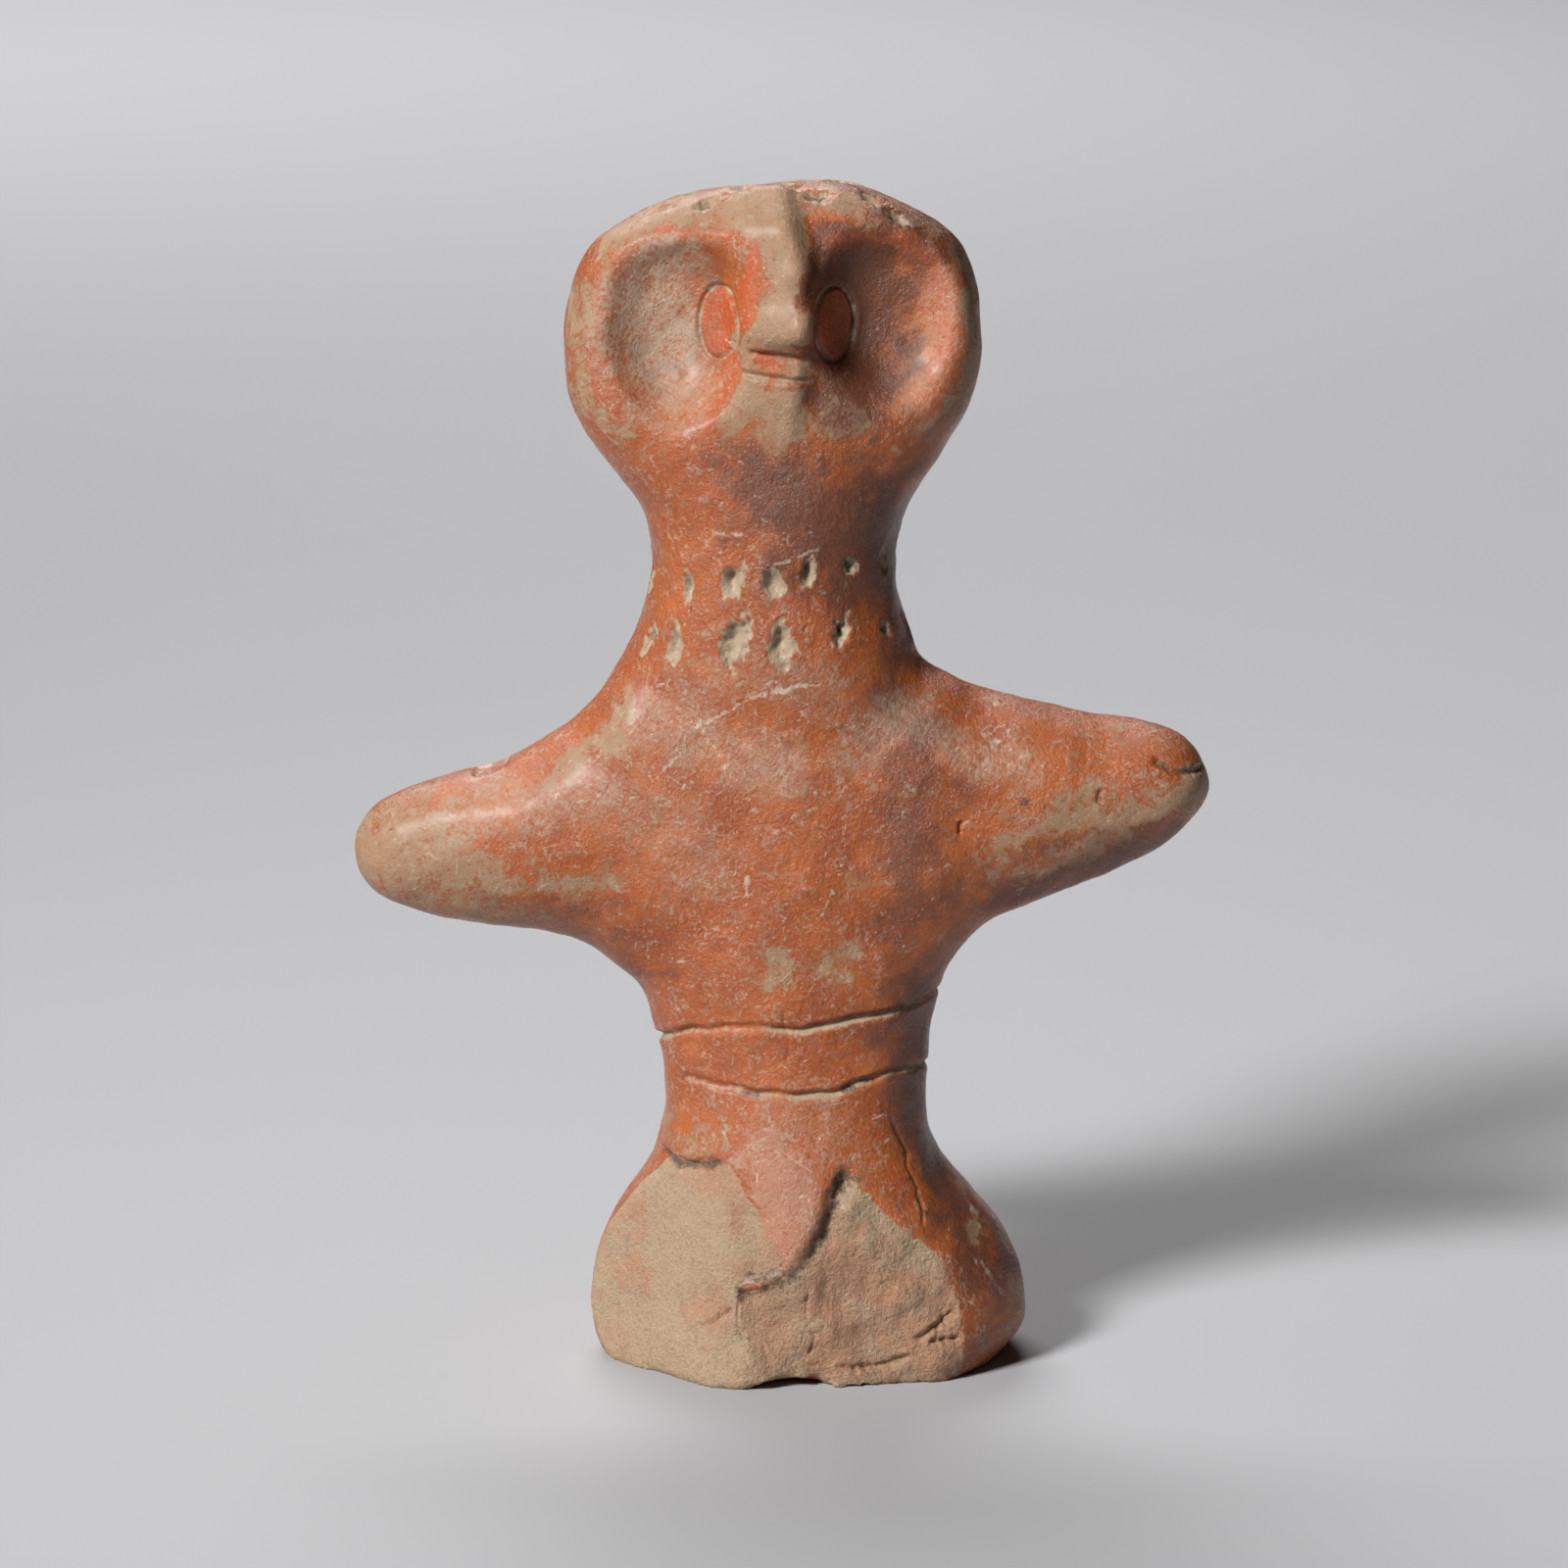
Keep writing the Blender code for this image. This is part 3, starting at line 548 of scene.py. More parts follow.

# What is scratched, worn, stained and filmed on the front, with painted shade and painted sheen: half width, strength
# and a path in x and z.
wearAndPaintedLight = {
    "worn": (
        (2.8, 0.95, ((-3.0, 141.0), (-3.0, 137.0), (-3.6, 133.0), (-4.0, 129.0), (-4.4, 126.6))),
        (2.8, 0.62, ((-11.0, 141.4), (-6.0, 140.4), (-2.5, 139.2), (0.6, 137.6))),
        (2.0, 0.45, ((-22.0, 139.6), (-15.0, 142.4), (-8.0, 143.8), (0.0, 143.9), (8.0, 143.0), (14.0, 140.6))),
        (1.3, 0.6, ((-23.8, 137.0), (-19.0, 140.2), (-13.0, 141.2), (-8.5, 140.2))),
        (1.3, 0.25, ((2.6, 139.8), (8.0, 140.9), (14.0, 138.8), (17.8, 135.0))),
        (4.0, 0.9, ((-5.4, 121.0), (-4.8, 118.8), (-4.4, 116.8))),
        (1.6, 0.7, ((-8.6, 124.0), (-5.0, 123.4), (-1.0, 122.9))),
        (1.1, 0.5, ((-26.9, 131.0), (-27.6, 124.0), (-25.6, 118.4), (-22.0, 115.0))),
        (1.3, 0.55, ((18.6, 133.0), (19.2, 126.0), (17.4, 119.6), (13.6, 116.0))),
        (1.9, 0.6, ((0.4, 117.2), (2.2, 116.4), (4.6, 116.2))),
        (1.7, 0.72, ((-3.9, 51.9), (-3.8, 49.6))),
        (1.6, 0.68, ((1.5, 50.8), (3.9, 51.6))),
        (1.5, 0.66, ((-30.1, 73.8), (-27.0, 76.6), (-23.4, 79.9))),
        (0.55, 0.9, ((-22.2, 80.6), (-21.4, 83.2))),
        (4.4, 0.6, ((-55.0, 61.0), (-51.0, 63.0), (-46.5, 64.6))),
        (1.9, 0.55, ((-44.5, 62.0), (-35.0, 60.8), (-24.4, 60.9))),
        (1.9, 0.5, ((-52.0, 58.6), (-44.0, 57.6), (-33.0, 56.2))),
        (2.4, 0.66, ((21.9, 65.3), (27.2, 67.6), (33.6, 69.3))),
        (2.2, 0.66, ((33.1, 68.0), (40.0, 69.0), (47.8, 71.6))),
        (1.2, 0.6, ((22.0, 61.0), (30.0, 63.4), (37.0, 66.4))),
        (1.6, 0.45, ((-17.6, 30.0), (-15.0, 28.6), (-11.0, 28.8))),
        (1.2, 0.45, ((22.4, 22.0), (24.8, 15.0), (25.2, 8.0))),
        (0.5, 0.9, ((19.5, 17.9), (19.9, 16.0))),
        (1.0, 0.5, ((7.4, 72.4), (11.0, 71.8))),
        (0.9, 0.55, ((4.6, 61.2), (7.6, 61.6))),
    ),
    "filmAndSheen": (
        (6.4, 0.95, ((-19.4, 128.0), (-17.6, 126.0))),
        # painted sheen on the top of the left arm and the left of the chest
        (3.2, 0.4, ((-44.0, 67.0), (-34.0, 70.0), (-25.0, 72.0))),
        (5.0, 0.25, ((-20.0, 70.0), (-14.0, 63.0))),
        (2.6, 1.0, ((-22.3, 131.4), (-19.6, 134.6), (-15.4, 136.2))),
        (3.4, 0.45, ((-20.0, 121.4), (-16.4, 119.2))),
        (3.0, 0.3, ((14.6, 133.0), (15.0, 126.0), (13.4, 120.4))),
        (3.6, 0.40, ((-17.3, 80.4), (-10.3, 77.6), (-3.3, 74.6))),
        (2.5, 0.45, ((4.3, 77.4), (7.2, 80.2), (10.6, 82.8))),
        (2.4, 0.35, ((11.0, 81.0), (17.0, 77.4), (25.0, 74.4))),
        (3.0, 0.25, ((-14.0, 85.0), (-8.0, 86.0), (2.0, 85.4))),
    ),
    "vivid": (
        (1.0, 1.0, ((-7.0, 137.8), (-7.7, 131.0), (-8.2, 127.8), (-8.9, 125.2), (-9.9, 122.6))),
        (1.0, 0.7, ((-9.8, 122.6), (-11.2, 118.4), (-13.4, 115.6))),
        (1.3, 0.8, ((-22.8, 136.4), (-19.5, 138.7), (-14.8, 139.4), (-8.4, 138.4))),
        (1.6, 0.8, ((2.6, 137.6), (8.0, 138.4), (14.0, 136.4))),
        (2.6, 0.8, ((14.0, 133.0), (16.0, 125.0), (14.4, 119.0))),
        (1.8, 0.5, ((-24.4, 125.0), (-23.6, 119.6), (-19.0, 116.4))),
        (1.0, 0.9, ((-6.2, 124.5), (-4.2, 123.6))),
    ),
    "dark": (
        (0.28, 0.55, crackPaths["belly"]),
        (0.5, 0.8, ((-8.2, 35.4), (-6.9, 35.2))),
        (0.6, 0.9, ((4.2, 35.7), (5.0, 35.8))),
        (0.8, 1.0, ((6.3, 36.7), (7.6, 36.9))),
        (0.20, 0.75, crackPaths["hip"]),
        (0.5, 0.9, ((25.3, 70.8), (25.5, 70.8))),
        (0.6, 0.8, ((27.5, 70.3), (27.8, 70.3))),
        (0.5, 0.9, ((30.0, 70.8), (30.3, 70.9))),
        (0.25, 0.9, crackPaths["armpit"]),
        (0.3, 0.8, crackPaths["arm"]),
        (0.4, 0.7, crackPaths["hand"]),
        (0.55, 0.9, ((-2.0, 126.0), (-1.8, 125.9))),
        # painted shadow under the overhang over the left break
        (0.6, 0.75, crackPaths["overhang"]),
        # painted shade on the wall down from the apron's right edge to the right break
        (1.4, 0.85, ((4.0, 25.6), (2.0, 22.4), (0.2, 18.2), (-2.4, 14.6), (-8.0, 12.2))),
        (0.6, 0.7, ((4.2, 25.6), (5.6, 25.2))),
        (0.9, 0.5, ((-16.6, 98.6), (-14.8, 97.2))),
    ),
    "pale": (
        (0.22, 0.8, ((-4.1, 100.3), (0.8, 101.7))),
        (0.24, 0.9, ((-7.7, 83.4), (-3.4, 84.8), (1.2, 85.5))),
        (0.2, 0.8, ((-20.1, 72.6), (-15.9, 76.9))),
        (0.2, 0.8, ((-13.8, 80.4), (-9.7, 74.3))),
        (0.22, 0.8, ((-12.4, 80.5), (-9.0, 82.6), (-5.7, 84.7))),
        (0.2, 0.7, ((4.0, 66.8), (9.0, 67.0))),
        (0.22, 0.7, ((22.0, 78.0), (24.5, 76.2))),
        (0.5, 0.8, ((-7.4, 62.0), (-7.2, 60.2))),
        (0.2, 0.7, ((-13.0, 104.0), (-8.0, 103.4))),
        (0.2, 0.6, ((1.0, 57.0), (2.4, 60.6))),
        (0.2, 0.7, ((20.4, 14.0), (23.6, 9.0))),
        (0.2, 0.6, ((18.0, 22.0), (20.8, 16.4))),
        (0.2, 0.6, ((-12.0, 31.6), (-9.0, 28.6))),
        (0.22, 0.6, ((-30.0, 70.0), (-24.0, 72.0))),
    ),
    "pink": (
        (7.0, 0.55, ((-4.6, 30.0), (-1.0, 30.0))),
        (5.0, 0.95, ((-3.6, 26.0), (-2.6, 24.0))),
        (3.2, 1.0, ((-2.8, 24.0), (-3.0, 17.0))),
        (3.0, 0.9, ((-4.4, 10.0), (-4.2, 4.0))),
    ),
    # painted shade: under the chin and down the right of the neck, in the right hollow beside the nose and over the
    # right brow, down the right of the body and under both arms
    "deep": (
        (6.0, 0.9, ((-5.0, 110.0), (1.0, 106.0), (4.0, 99.0))),
        (3.4, 0.8, ((7.0, 110.0), (9.0, 102.0), (9.0, 93.0))),
        (6.0, 1.1, ((4.0, 134.0), (5.4, 127.0), (4.6, 120.0))),
        (2.4, 0.9, ((3.0, 139.6), (10.0, 139.6), (16.0, 137.0))),
        (5.0, 0.7, ((11.0, 84.0), (12.0, 72.0), (12.0, 58.0))),
        (3.4, 0.8, ((24.0, 60.0), (34.0, 63.0), (42.0, 66.0))),
        (3.4, 0.8, ((12.0, 46.0), (12.0, 36.0), (16.0, 24.0), (22.0, 12.0))),
        (3.0, 0.6, ((-40.0, 57.0), (-26.0, 54.0), (-20.0, 49.0))),
    ),
}

# For each kind how far its strokes are warped, and where its edge starts and ends in half widths.
edges = {
    "worn": (0.7, 0.1, 1.9), "filmAndSheen": (0.6, 0.2, 1.5), "vivid": (0.4, 0.2, 1.6), "dark": (0.25, 0.2, 1.5),
    "pale": (0.6, 0.4, 1.4), "pink": (0.4, 0.3, 1.5), "deep": (1.0, 0.1, 1.9),
}

# Cracks and clefts on the front: half width, depth and a path.
cracks = (
    (0.20, 0.22, crackPaths["hip"]),
    (0.45, 0.55, crackPaths["hand"]),
    (0.30, 0.45, crackPaths["armpit"]),
    (0.30, 0.35, crackPaths["arm"]),
    (0.22, 0.28, ((-8.4, 12.0), (-8.9, 8.0), (-8.0, 5.0), (-8.9, 1.0))),
    (0.22, 0.25, ((-0.2, 12.4), (-0.6, 9.0), (0.4, 6.0), (-0.6, 3.4))),
    (0.30, 0.55, ((-13.8, 6.5), (-10.4, 9.0), (-9.4, 9.9))),
    (0.35, 0.7, ((12.5, 5.2), (15.0, 7.0), (17.6, 8.8))),
    (0.30, 0.6, ((14.0, 5.2), (18.2, 5.3))),
    (0.40, 0.7, ((2.6, 2.3), (9.3, 2.7), (12.5, 3.8))),
    (0.22, 0.12, crackPaths["belly"]),
    (0.40, 0.5, ((-41.1, 72.6), (-36.4, 74.4))),
    (0.6, 0.8, crackPaths["overhang"]),
)


def roundForm():
    # the column and the arms fused and softened, the face pressed in, the legs broken off
    columnPoints, columnFaces = ovalTube(form["column"], (0, form["crownRounding"]), 2, 0)
    armPoints, armFaces = ovalTube(form["arms"], (form["handRounding"],) * 2, 0, 2)
    shift = len(columnPoints)
    armFaces = [[corner + shift for corner in loop] for loop in armFaces]
    piece = solidObject("terracottaFigure", np.concatenate((columnPoints, armPoints)), columnFaces + armFaces)
    remesh(piece, form["joinVoxel"])
    relax(piece, form["joinRelax"])
    piece.data.vertices.foreach_set("co", shapeFace(readPoints(piece.data)).ravel())
    relax(piece, form["pressRelax"])
    legs = breakTool(chipped("left"), leftFace)
    combine(legs, breakTool(chipped("right"), rightFace), "UNION")
    combine(piece, legs, "DIFFERENCE")
    levelUnderside(piece)
    combine(piece, footChip(), "DIFFERENCE")
    remesh(piece, form["skinVoxel"])
    return piece


def trianglesOf(mesh):
    # one row of three corners for each triangle
    mesh.calc_loop_triangles()
    flat = np.empty(len(mesh.loop_triangles) * 3, np.int32)
    mesh.loop_triangles.foreach_get("vertices", flat)
    return flat.reshape(-1, 3)


def normalsOf(points, triangles):
    # each point's normal is the sum of its faces' cross products
    a, b, c = points[triangles].transpose(1, 0, 2)
    across = np.cross(b - a, c - a)
    total = np.stack([sum(np.bincount(triangles[:, k], across[:, j], len(points)) for k in range(3))
                      for j in range(3)], -1)
    return total / np.maximum(np.linalg.norm(total, axis=1), 1e-12)[:, None]


def smoothed(points, triangles, rounds, amount=0.5):
    # each round moves every point towards the mean of its neighbours
    edges = np.concatenate((triangles[:, :2], triangles[:, 1:], triangles[:, ::2]))
    edges = np.unique(np.sort(edges, axis=1), axis=0)
    count = np.bincount(edges.ravel(), minlength=len(points))[:, None]
    for _ in range(rounds):
        mean = np.stack([np.bincount(edges[:, 0], points[edges[:, 1], j], len(points))
                         + np.bincount(edges[:, 1], points[edges[:, 0], j], len(points))
                         for j in range(points.shape[1])], -1) / count
        points = points + amount * (mean - points)
    return points


def refine(points, triangles):
    # edges too long for their place are halved, and each triangle is cut to suit its halved edges
    for _ in range(meshSize["rounds"]):
        corners = triangles[:, ((0, 1), (1, 2), (2, 0))].reshape(-1, 2)
        edges, which = np.unique(np.sort(corners, axis=1), axis=0, return_inverse=True)
        which = which.reshape(-1, 3)
        middle = points[edges].mean(1)
        length = np.linalg.norm(points[edges[:, 0], :3] - points[edges[:, 1], :3], axis=1)
        long = length > meshSize["slack"] * wantedSize(middle)
        if not long.any():
            break
        fresh = np.full(len(edges), -1)
        fresh[long] = len(points) + np.arange(long.sum())
        points = np.concatenate((points, middle[long]))
        cut = fresh[which]
        number = (cut >= 0).sum(1)
        made = [triangles[number == 0]]
        for n in (1, 2, 3):  # turned so that the first edge is cut, and for two cuts the last is whole
            rows = np.flatnonzero(number == n)
            first = np.argmax(cut[rows] >= 0, axis=1) if n == 1 else (np.argmin(cut[rows] >= 0, axis=1) + 1) % 3
            order = (first[:, None] + np.arange(3)) % 3
            a, b, c = np.take_along_axis(triangles[rows], order, 1).T
            ab, bc, ca = np.take_along_axis(cut[rows], order, 1).T
            pieces = {1: ((a, ab, c), (ab, b, c)),
                      2: ((ab, b, bc), (a, ab, bc), (a, bc, c)),
                      3: ((a, ab, ca), (ab, b, bc), (ca, bc, c), (ab, bc, ca))}[n]
            made += [np.stack(loop, -1) for loop in pieces]
        triangles = np.concatenate(made)
    return points, triangles


# How long an edge of the mesh should be in each place; it is halved where it is longer than slack times that.
meshSize = {
    "plain": 2.0,
    "nose": 0.56,
    "breaks": 0.6,
    "belt": 0.34,
    "pricks": 0.36,
    "scored": 0.24,
    "slack": 1.35,
    "rounds": 4,
}


def wantedSize(points):
    # how fine the mesh must be: finest at grooves, pricks and cracks, fine on the face and the breaks
    x, y, z = points[:, :3].T
    size = np.full(len(points), meshSize["plain"])
    front = y < 2

    def finer(where, value):
        size[where] = np.minimum(size[where], value)

    finer(front & (z > 112) & (np.abs(x + 4) < 12) & (y < -4), meshSize["nose"])
    finer(front & (z < 28.5) & (y < -3), meshSize["breaks"])
    for line in (belt["upper"], belt["lower"]):
        above, past = beltGap(points[:, :3], line)
        finer((np.abs(above) < 1.5) & (past < 2), meshSize["belt"])
    for eye in face["eyes"]:
        finer(front & (z > 120) & (np.abs(eyeGap(points[:, :3], eye)) < 1.0), meshSize["scored"])
    for stroke in face["mouth"]:
        finer(front & (nearPath(stroke, x, z, 1.2)[0] < 1.0), meshSize["scored"])
    finer(prickFields(points[:, :3])[0] < 1.6, meshSize["pricks"])
    for halfWidth, _, path in cracks:
        finer(front & (nearPath(path, x, z, 1.5)[0] < halfWidth * 2.2), meshSize["scored"])
    return size


# How the marks are cut and filled.
carving = {
    "front": (0.3, 3.0),  # how far back a point may face, and lie, and still be on the front
    "uneven": (3.0, 11),  # wavelength, seed
    "fine": (1.1, 12),
    "rim": (0.08, 2.0, 0.8),  # height in depths, distance and width in half widths
    "onBreak": (-1.6, -0.7),  # how near its face a point must be to count as broken
    "onGround": ((-0.5, -0.15), (0.5, 0.8)),  # how low it must lie, and how far down it must face
    "pressure": (0.8, 0.25, 0.15),  # of the belt lines: least, swing round the body, unevenness
    "beltFilling": (0.18, 1.05),  # how far below the line, and width in half widths
    # beltHole: painted shadow along the upper side of each belt groove
    "beltHole": (0.75, 0.36, 0.3),  # darkness, how far above the line, width
    "mouthEnds": (0.12, 0.85, 0.6),  # where it has set in, where it fades, and by how much
    "crackEnds": (0.15, 0.85),
    "eyeFilling": (0.55, 0.2, 1.4),  # least, unevenness, width in half widths
    "torn": (0.26, 0.24),  # how far the pricks' edges are torn, finely and broadly
    "prick": (0.1, 1.05, 0.6),  # where its wall starts and ends, and how much deeper its hole is
    "prickRim": (0.06, 1.3, 0.25),  # height, distance, width
    "prickFilling": (0.7, 1.25, 0.7),  # where it starts and ends, and how much the crown's have
}


def groove(gap, halfWidth, depth):
    # a scored line: a rounded cut with a low rim thrown up on each side
    height, away, width = carving["rim"]
    rim = bell(np.abs(gap) - away * halfWidth, width * halfWidth)
    return depth * bell(gap, halfWidth) - height * depth * rim


def brokenClay(points, normals, front):
    # 1 on the two breaks and the underside, and where the right break is
    x, y, z = points.T
    broken = np.zeros(len(points))
    for side, depthOf in (("left", leftFace), ("right", rightFace)):
        inside = insideOutline(chipped(side), x, z) & front
        broken = np.maximum(broken, inside * easeStep(-np.abs(y - depthOf(x, z) + 0.1), *carving["onBreak"]))
    low, down = carving["onGround"]
    broken = np.maximum(broken, easeStep(-z, *low) * easeStep(-normals[:, 2], *down))
    return broken, inside


def carve(points, triangles):
    # every mark is pushed in or raised along the surface's own normal
    normals = normalsOf(points, triangles)
    x, y, z = points.T
    facing, behind = carving["front"]
    front = (normals[:, 1] < facing) & (y < behind)
    fill, eyeInside = np.zeros(len(points)), np.zeros(len(points))
    uneven, fine = waves(points, *carving["uneven"]), waves(points, *carving["fine"])
    egg, hole = prickFields(points)
    broken, onRight = brokenClay(points, normals, front)
    depth = swells(points, form["unevenness"])
    depth += broken * np.where(onRight, swells(points, breaks["rightRelief"]), swells(points, breaks["leftRelief"]))

    halfWidth, deep = belt["groove"]
    sway, length, seed = belt["wander"]
    least, swing, change = carving["pressure"]
    below, spread = carving["beltFilling"]
    dark, higher, width = carving["beltHole"]
    bearing, _ = bearingOf(points, belt["axis"])
    along = np.column_stack((bearing * 0.22, bearing * 0, bearing * 0))  # millimetres round the body
    for key, line in enumerate((belt["upper"], belt["lower"])):
        above, past = beltGap(points, line)
        pressure = least + swing * np.sin(np.radians(bearing) * 3 + key) + change * uneven
        strength = (1 - easeStep(past, 0, belt["fade"])) * pressure
        wander = sway * waves(along, length, seed + key)
        depth += strength * groove(above - wander, halfWidth, deep) * (np.abs(x) < belt["reach"])
        filled = np.clip(strength, 0, 1)
        fill = np.maximum(fill, filled * bell(above - wander + below, halfWidth * spread))
        # painted shadow just above each belt line, under the groove's upper edge
        hole = np.maximum(hole, dark * filled * bell(above - wander - higher, width))

    setIn, fade, loss = carving["mouthEnds"]
    for stroke in face["mouth"]:
        gap, along = nearPath(stroke, x, z, 3)
        taper = front * easeStep(along, 0, setIn) * (1 - loss * easeStep(along, fade, 1))
        depth += taper * groove(gap, *face["mouthGroove"])
        fill = np.maximum(fill, face["mouthFilling"] * taper * bell(gap, face["mouthGroove"][0]))
    swell, swellFrom, swellTo = face["eyeSwell"]
    least, change, spread = carving["eyeFilling"]
    for eye in face["eyes"]:
        gap = eyeGap(points, eye)
        here = front & (z > 118)
        depth += here * groove(gap, *face["eyeGroove"]) * (0.9 + 0.2 * uneven)
        depth -= here * swell * easeStep(-gap, swellFrom, swellTo)
        fill = np.maximum(fill, here * (least + change * uneven) * bell(gap, face["eyeGroove"][0] * spread))
        eyeInside = np.maximum(eyeInside, here * easeStep(-gap, *face["eyeEdge"]))

    torn, bent = carving["torn"]
    egg = egg * (1 + torn * fine + bent * uneven)
    onCrown = z > pricks["crownLevels"][0]
    deepest = np.where(onCrown, pricks["crownSize"][2], pricks["depth"])
    wallFrom, wallTo, further = carving["prick"]
    height, away, width = carving["prickRim"]
    depth += deepest * ((1 - easeStep(egg, wallFrom, wallTo)) + further * hole) - height * bell(egg - away, width)
    fillFrom, fillTo, less = carving["prickFilling"]
    fill = np.maximum(fill, (1 - easeStep(egg, fillFrom, fillTo)) * np.where(onCrown, less, 1.0))

    setIn, fade = carving["crackEnds"]
    for halfWidth, deep, path in cracks:
        gap, along = nearPath(path, x, z, 3)
        taper = front * easeStep(along, 0, setIn) * (1 - easeStep(along, fade, 1))
        depth += taper * deep * bell(gap + 0.1 * fine, halfWidth)
    marks = {"broken": broken, "grit": broken * onRight, "fill": fill, "eye": eyeInside, "hole": hole}
    return points - normals * depth[:, None], marks


def wearFields(points, normals, marks):
    # a stroke for each line of the tables of wear and painted light, its edge drawn out and warped by waves; the
    # strongest is kept
    x, _, z = points.T
    front = easeStep(-normals[:, 1], -0.25, 0.1)
    pushX = swells(points, ((6.0, 1.1, 41), (2.2, 0.5, 42)))
    pushZ = swells(points, ((6.0, 1.1, 43), (2.2, 0.5, 44)))
    for kind, strokes in wearAndPaintedLight.items():
        warp, low, high = edges[kind]
        field = np.zeros(len(points))
        for halfWidth, strength, path in strokes:
            much = warp * min(halfWidth, 2.0)
            gap, _ = nearPath(path, x + much * pushX, z + much * pushZ, halfWidth * high + 1)
            field = np.maximum(field, strength * (1 - easeStep(gap, halfWidth * low, halfWidth * high + 0.1)))
        marks[kind] = field * front
    marks["filmAndSheen"] *= 1 - 0.85 * marks["eye"]


def makeFigure():
    # the form, its mesh made finer where marks are, the marks carved in, and each mark kept as an attribute
    piece = roundForm()
    print("form", len(piece.data.polygons), "faces")
    points, triangles = readPoints(piece.data), trianglesOf(piece.data)
    flattening, full = form["proud"]
    calm = smoothed(points, triangles, flattening)
    proud = ((points - calm) * normalsOf(points, triangles)).sum(1)
    table, triangles = refine(np.column_stack((points, proud)), triangles)
    print("refined", len(triangles), "triangles")
    points, proud = smoothed(table[:, :3], triangles, *form["skinRelax"]), table[:, 3]
    carved, marks = carve(points, triangles)
    carved[:, 2] = np.maximum(carved[:, 2], 0)
    marks["proud"] = np.clip(proud / full, -1, 1) * (1 - marks["broken"])
    wearFields(points, normalsOf(carved, triangles), marks)
    mesh = bpy.data.meshes.new("terracottaFigure")
    mesh.vertices.add(len(carved))
    mesh.vertices.foreach_set("co", (carved * millimetre).ravel())
    mesh.loops.add(triangles.size)
    mesh.loops.foreach_set("vertex_index", triangles.ravel())
    mesh.polygons.add(len(triangles))
    mesh.polygons.foreach_set("loop_start", np.arange(0, triangles.size, 3))
    mesh.update(calc_edges=True)
    mesh.polygons.foreach_set("use_smooth", np.ones(len(triangles), bool))
    for name, values in marks.items():
        mesh.attributes.new(name, "FLOAT", "POINT").data.foreach_set("value", values.astype(np.float32))
    piece.data = mesh
    piece.name = "terracottaFigure"
    return piece


# One output socket; arithmetic on it adds Math nodes.
class Wire:
    def __init__(self, tree, socket=None):
        self.tree = tree
        self.socket = socket

    def node(self, kind, settings=None, values=None, out=0):
        made = self.tree.nodes.new(kind)
        for name, value in (settings or {}).items():
            setattr(made, name, value)
        for name, value in (values or {}).items():
            if isinstance(value, Wire):
                self.tree.links.new(value.socket, made.inputs[name])
            else:
                made.inputs[name].default_value = value
        return Wire(self.tree, made.outputs[out])

    def calc(self, operation, *terms):
        return self.node("ShaderNodeMath", {"operation": operation}, dict(enumerate(terms)))

    def __add__(self, other):
        return self.calc("ADD", self, other)

    __radd__ = __add__

    def __sub__(self, other):
        return self.calc("SUBTRACT", self, other)

    def __rsub__(self, other):
        return self.calc("SUBTRACT", other, self)

    def __mul__(self, other):
        return self.calc("MULTIPLY", self, other)

    __rmul__ = __mul__

    def atMost(self, other):
        return self.calc("MINIMUM", self, other)

    def atLeast(self, other):
        return self.calc("MAXIMUM", self, other)

    def ease(self, low, high):
        return self.node("ShaderNodeMapRange", {"interpolation_type": "SMOOTHSTEP"},
                         {"Value": self, "From Min": low, "From Max": high})

    def colour(self, low, high):
        # one colour where this is 0, the other where it is 1
        return self.node("ShaderNodeMix", {"data_type": "RGBA"}, {0: self, 6: low, 7: high}, 2)

    def scaled(self, factors):
        return self.node("ShaderNodeVectorMath", {"operation": "MULTIPLY"}, {0: self, 1: factors})


# Every colour on the figure, in linear red, green and blue.
clay = {
    "slipBright": (0.45, 0.112, 0.020, 1),
    "slipDeep": (0.31, 0.066, 0.017, 1),
    "shade": (0.17, 0.045, 0.020, 1),
    "slipBrown": (0.23, 0.090, 0.040, 1),
    "vivid": (0.47, 0.088, 0.022, 1),
    "thin": (0.33, 0.140, 0.064, 1),
    "beige": (0.36, 0.220, 0.124, 1),
    "fracture": (0.46, 0.315, 0.190, 1),
    "fracturePink": (0.47, 0.245, 0.140, 1),
    "fractureDark": (0.23, 0.150, 0.090, 1),
    "apron": (0.44, 0.205, 0.125, 1),
    # grey film colour, also used as painted sheen on the left arm and chest
    "grey": (0.48, 0.360, 0.255, 1),
    "filling": (0.40, 0.305, 0.200, 1),
    "veil": (0.52, 0.375, 0.265, 1),
    "pale": (0.62, 0.500, 0.380, 1),
    "brown": (0.090, 0.055, 0.036, 1),
    # the colour of the painted shade in the pricks' holes and over the belt grooves
    "holeShade": (0.035, 0.024, 0.018, 1),
}


# Scale, detail, roughness and distortion of each noise.
noises = {
    "broad": (75, 3),
    "patchy": (210, 7, 0.72, 0.6),
    "mottle": (620, 6, 0.72, 0.3),
    "fine": (1900, 4, 0.7),
    "grain": (3000, 3, 0.7),
    "veil": (420, 9, 0.85, 0.8),
}

# Short strokes in the surface: turn about Y, length and width, and how strong the noise is where they start.
flecks = {
    "strokes": ((0.5, 1.6, 0.6, 0.19), (-0.9, 1.4, 0.6, 0.19), (1.5, 1.8, 0.55, 0.2)),
    "scratches": ((0.75, 9.0, 0.26, 0.215), (-0.6, 8.0, 0.26, 0.215), (0.1, 8.0, 0.3, 0.23)),
    "streaks": ((0.9, 5.0, 0.5, -0.02), (-0.5, 5.0, 0.5, -0.02)),
}

burnish = {
    "roughness": 0.30,
    "roughnessRange": (0.2, 0.95),
    "bumpStrength": 0.65,
    "bumpDistance": 0.0005,
    "coat": 0.14,
    "coatRoughness": 0.3,
    "speckScale": 900.0,
}


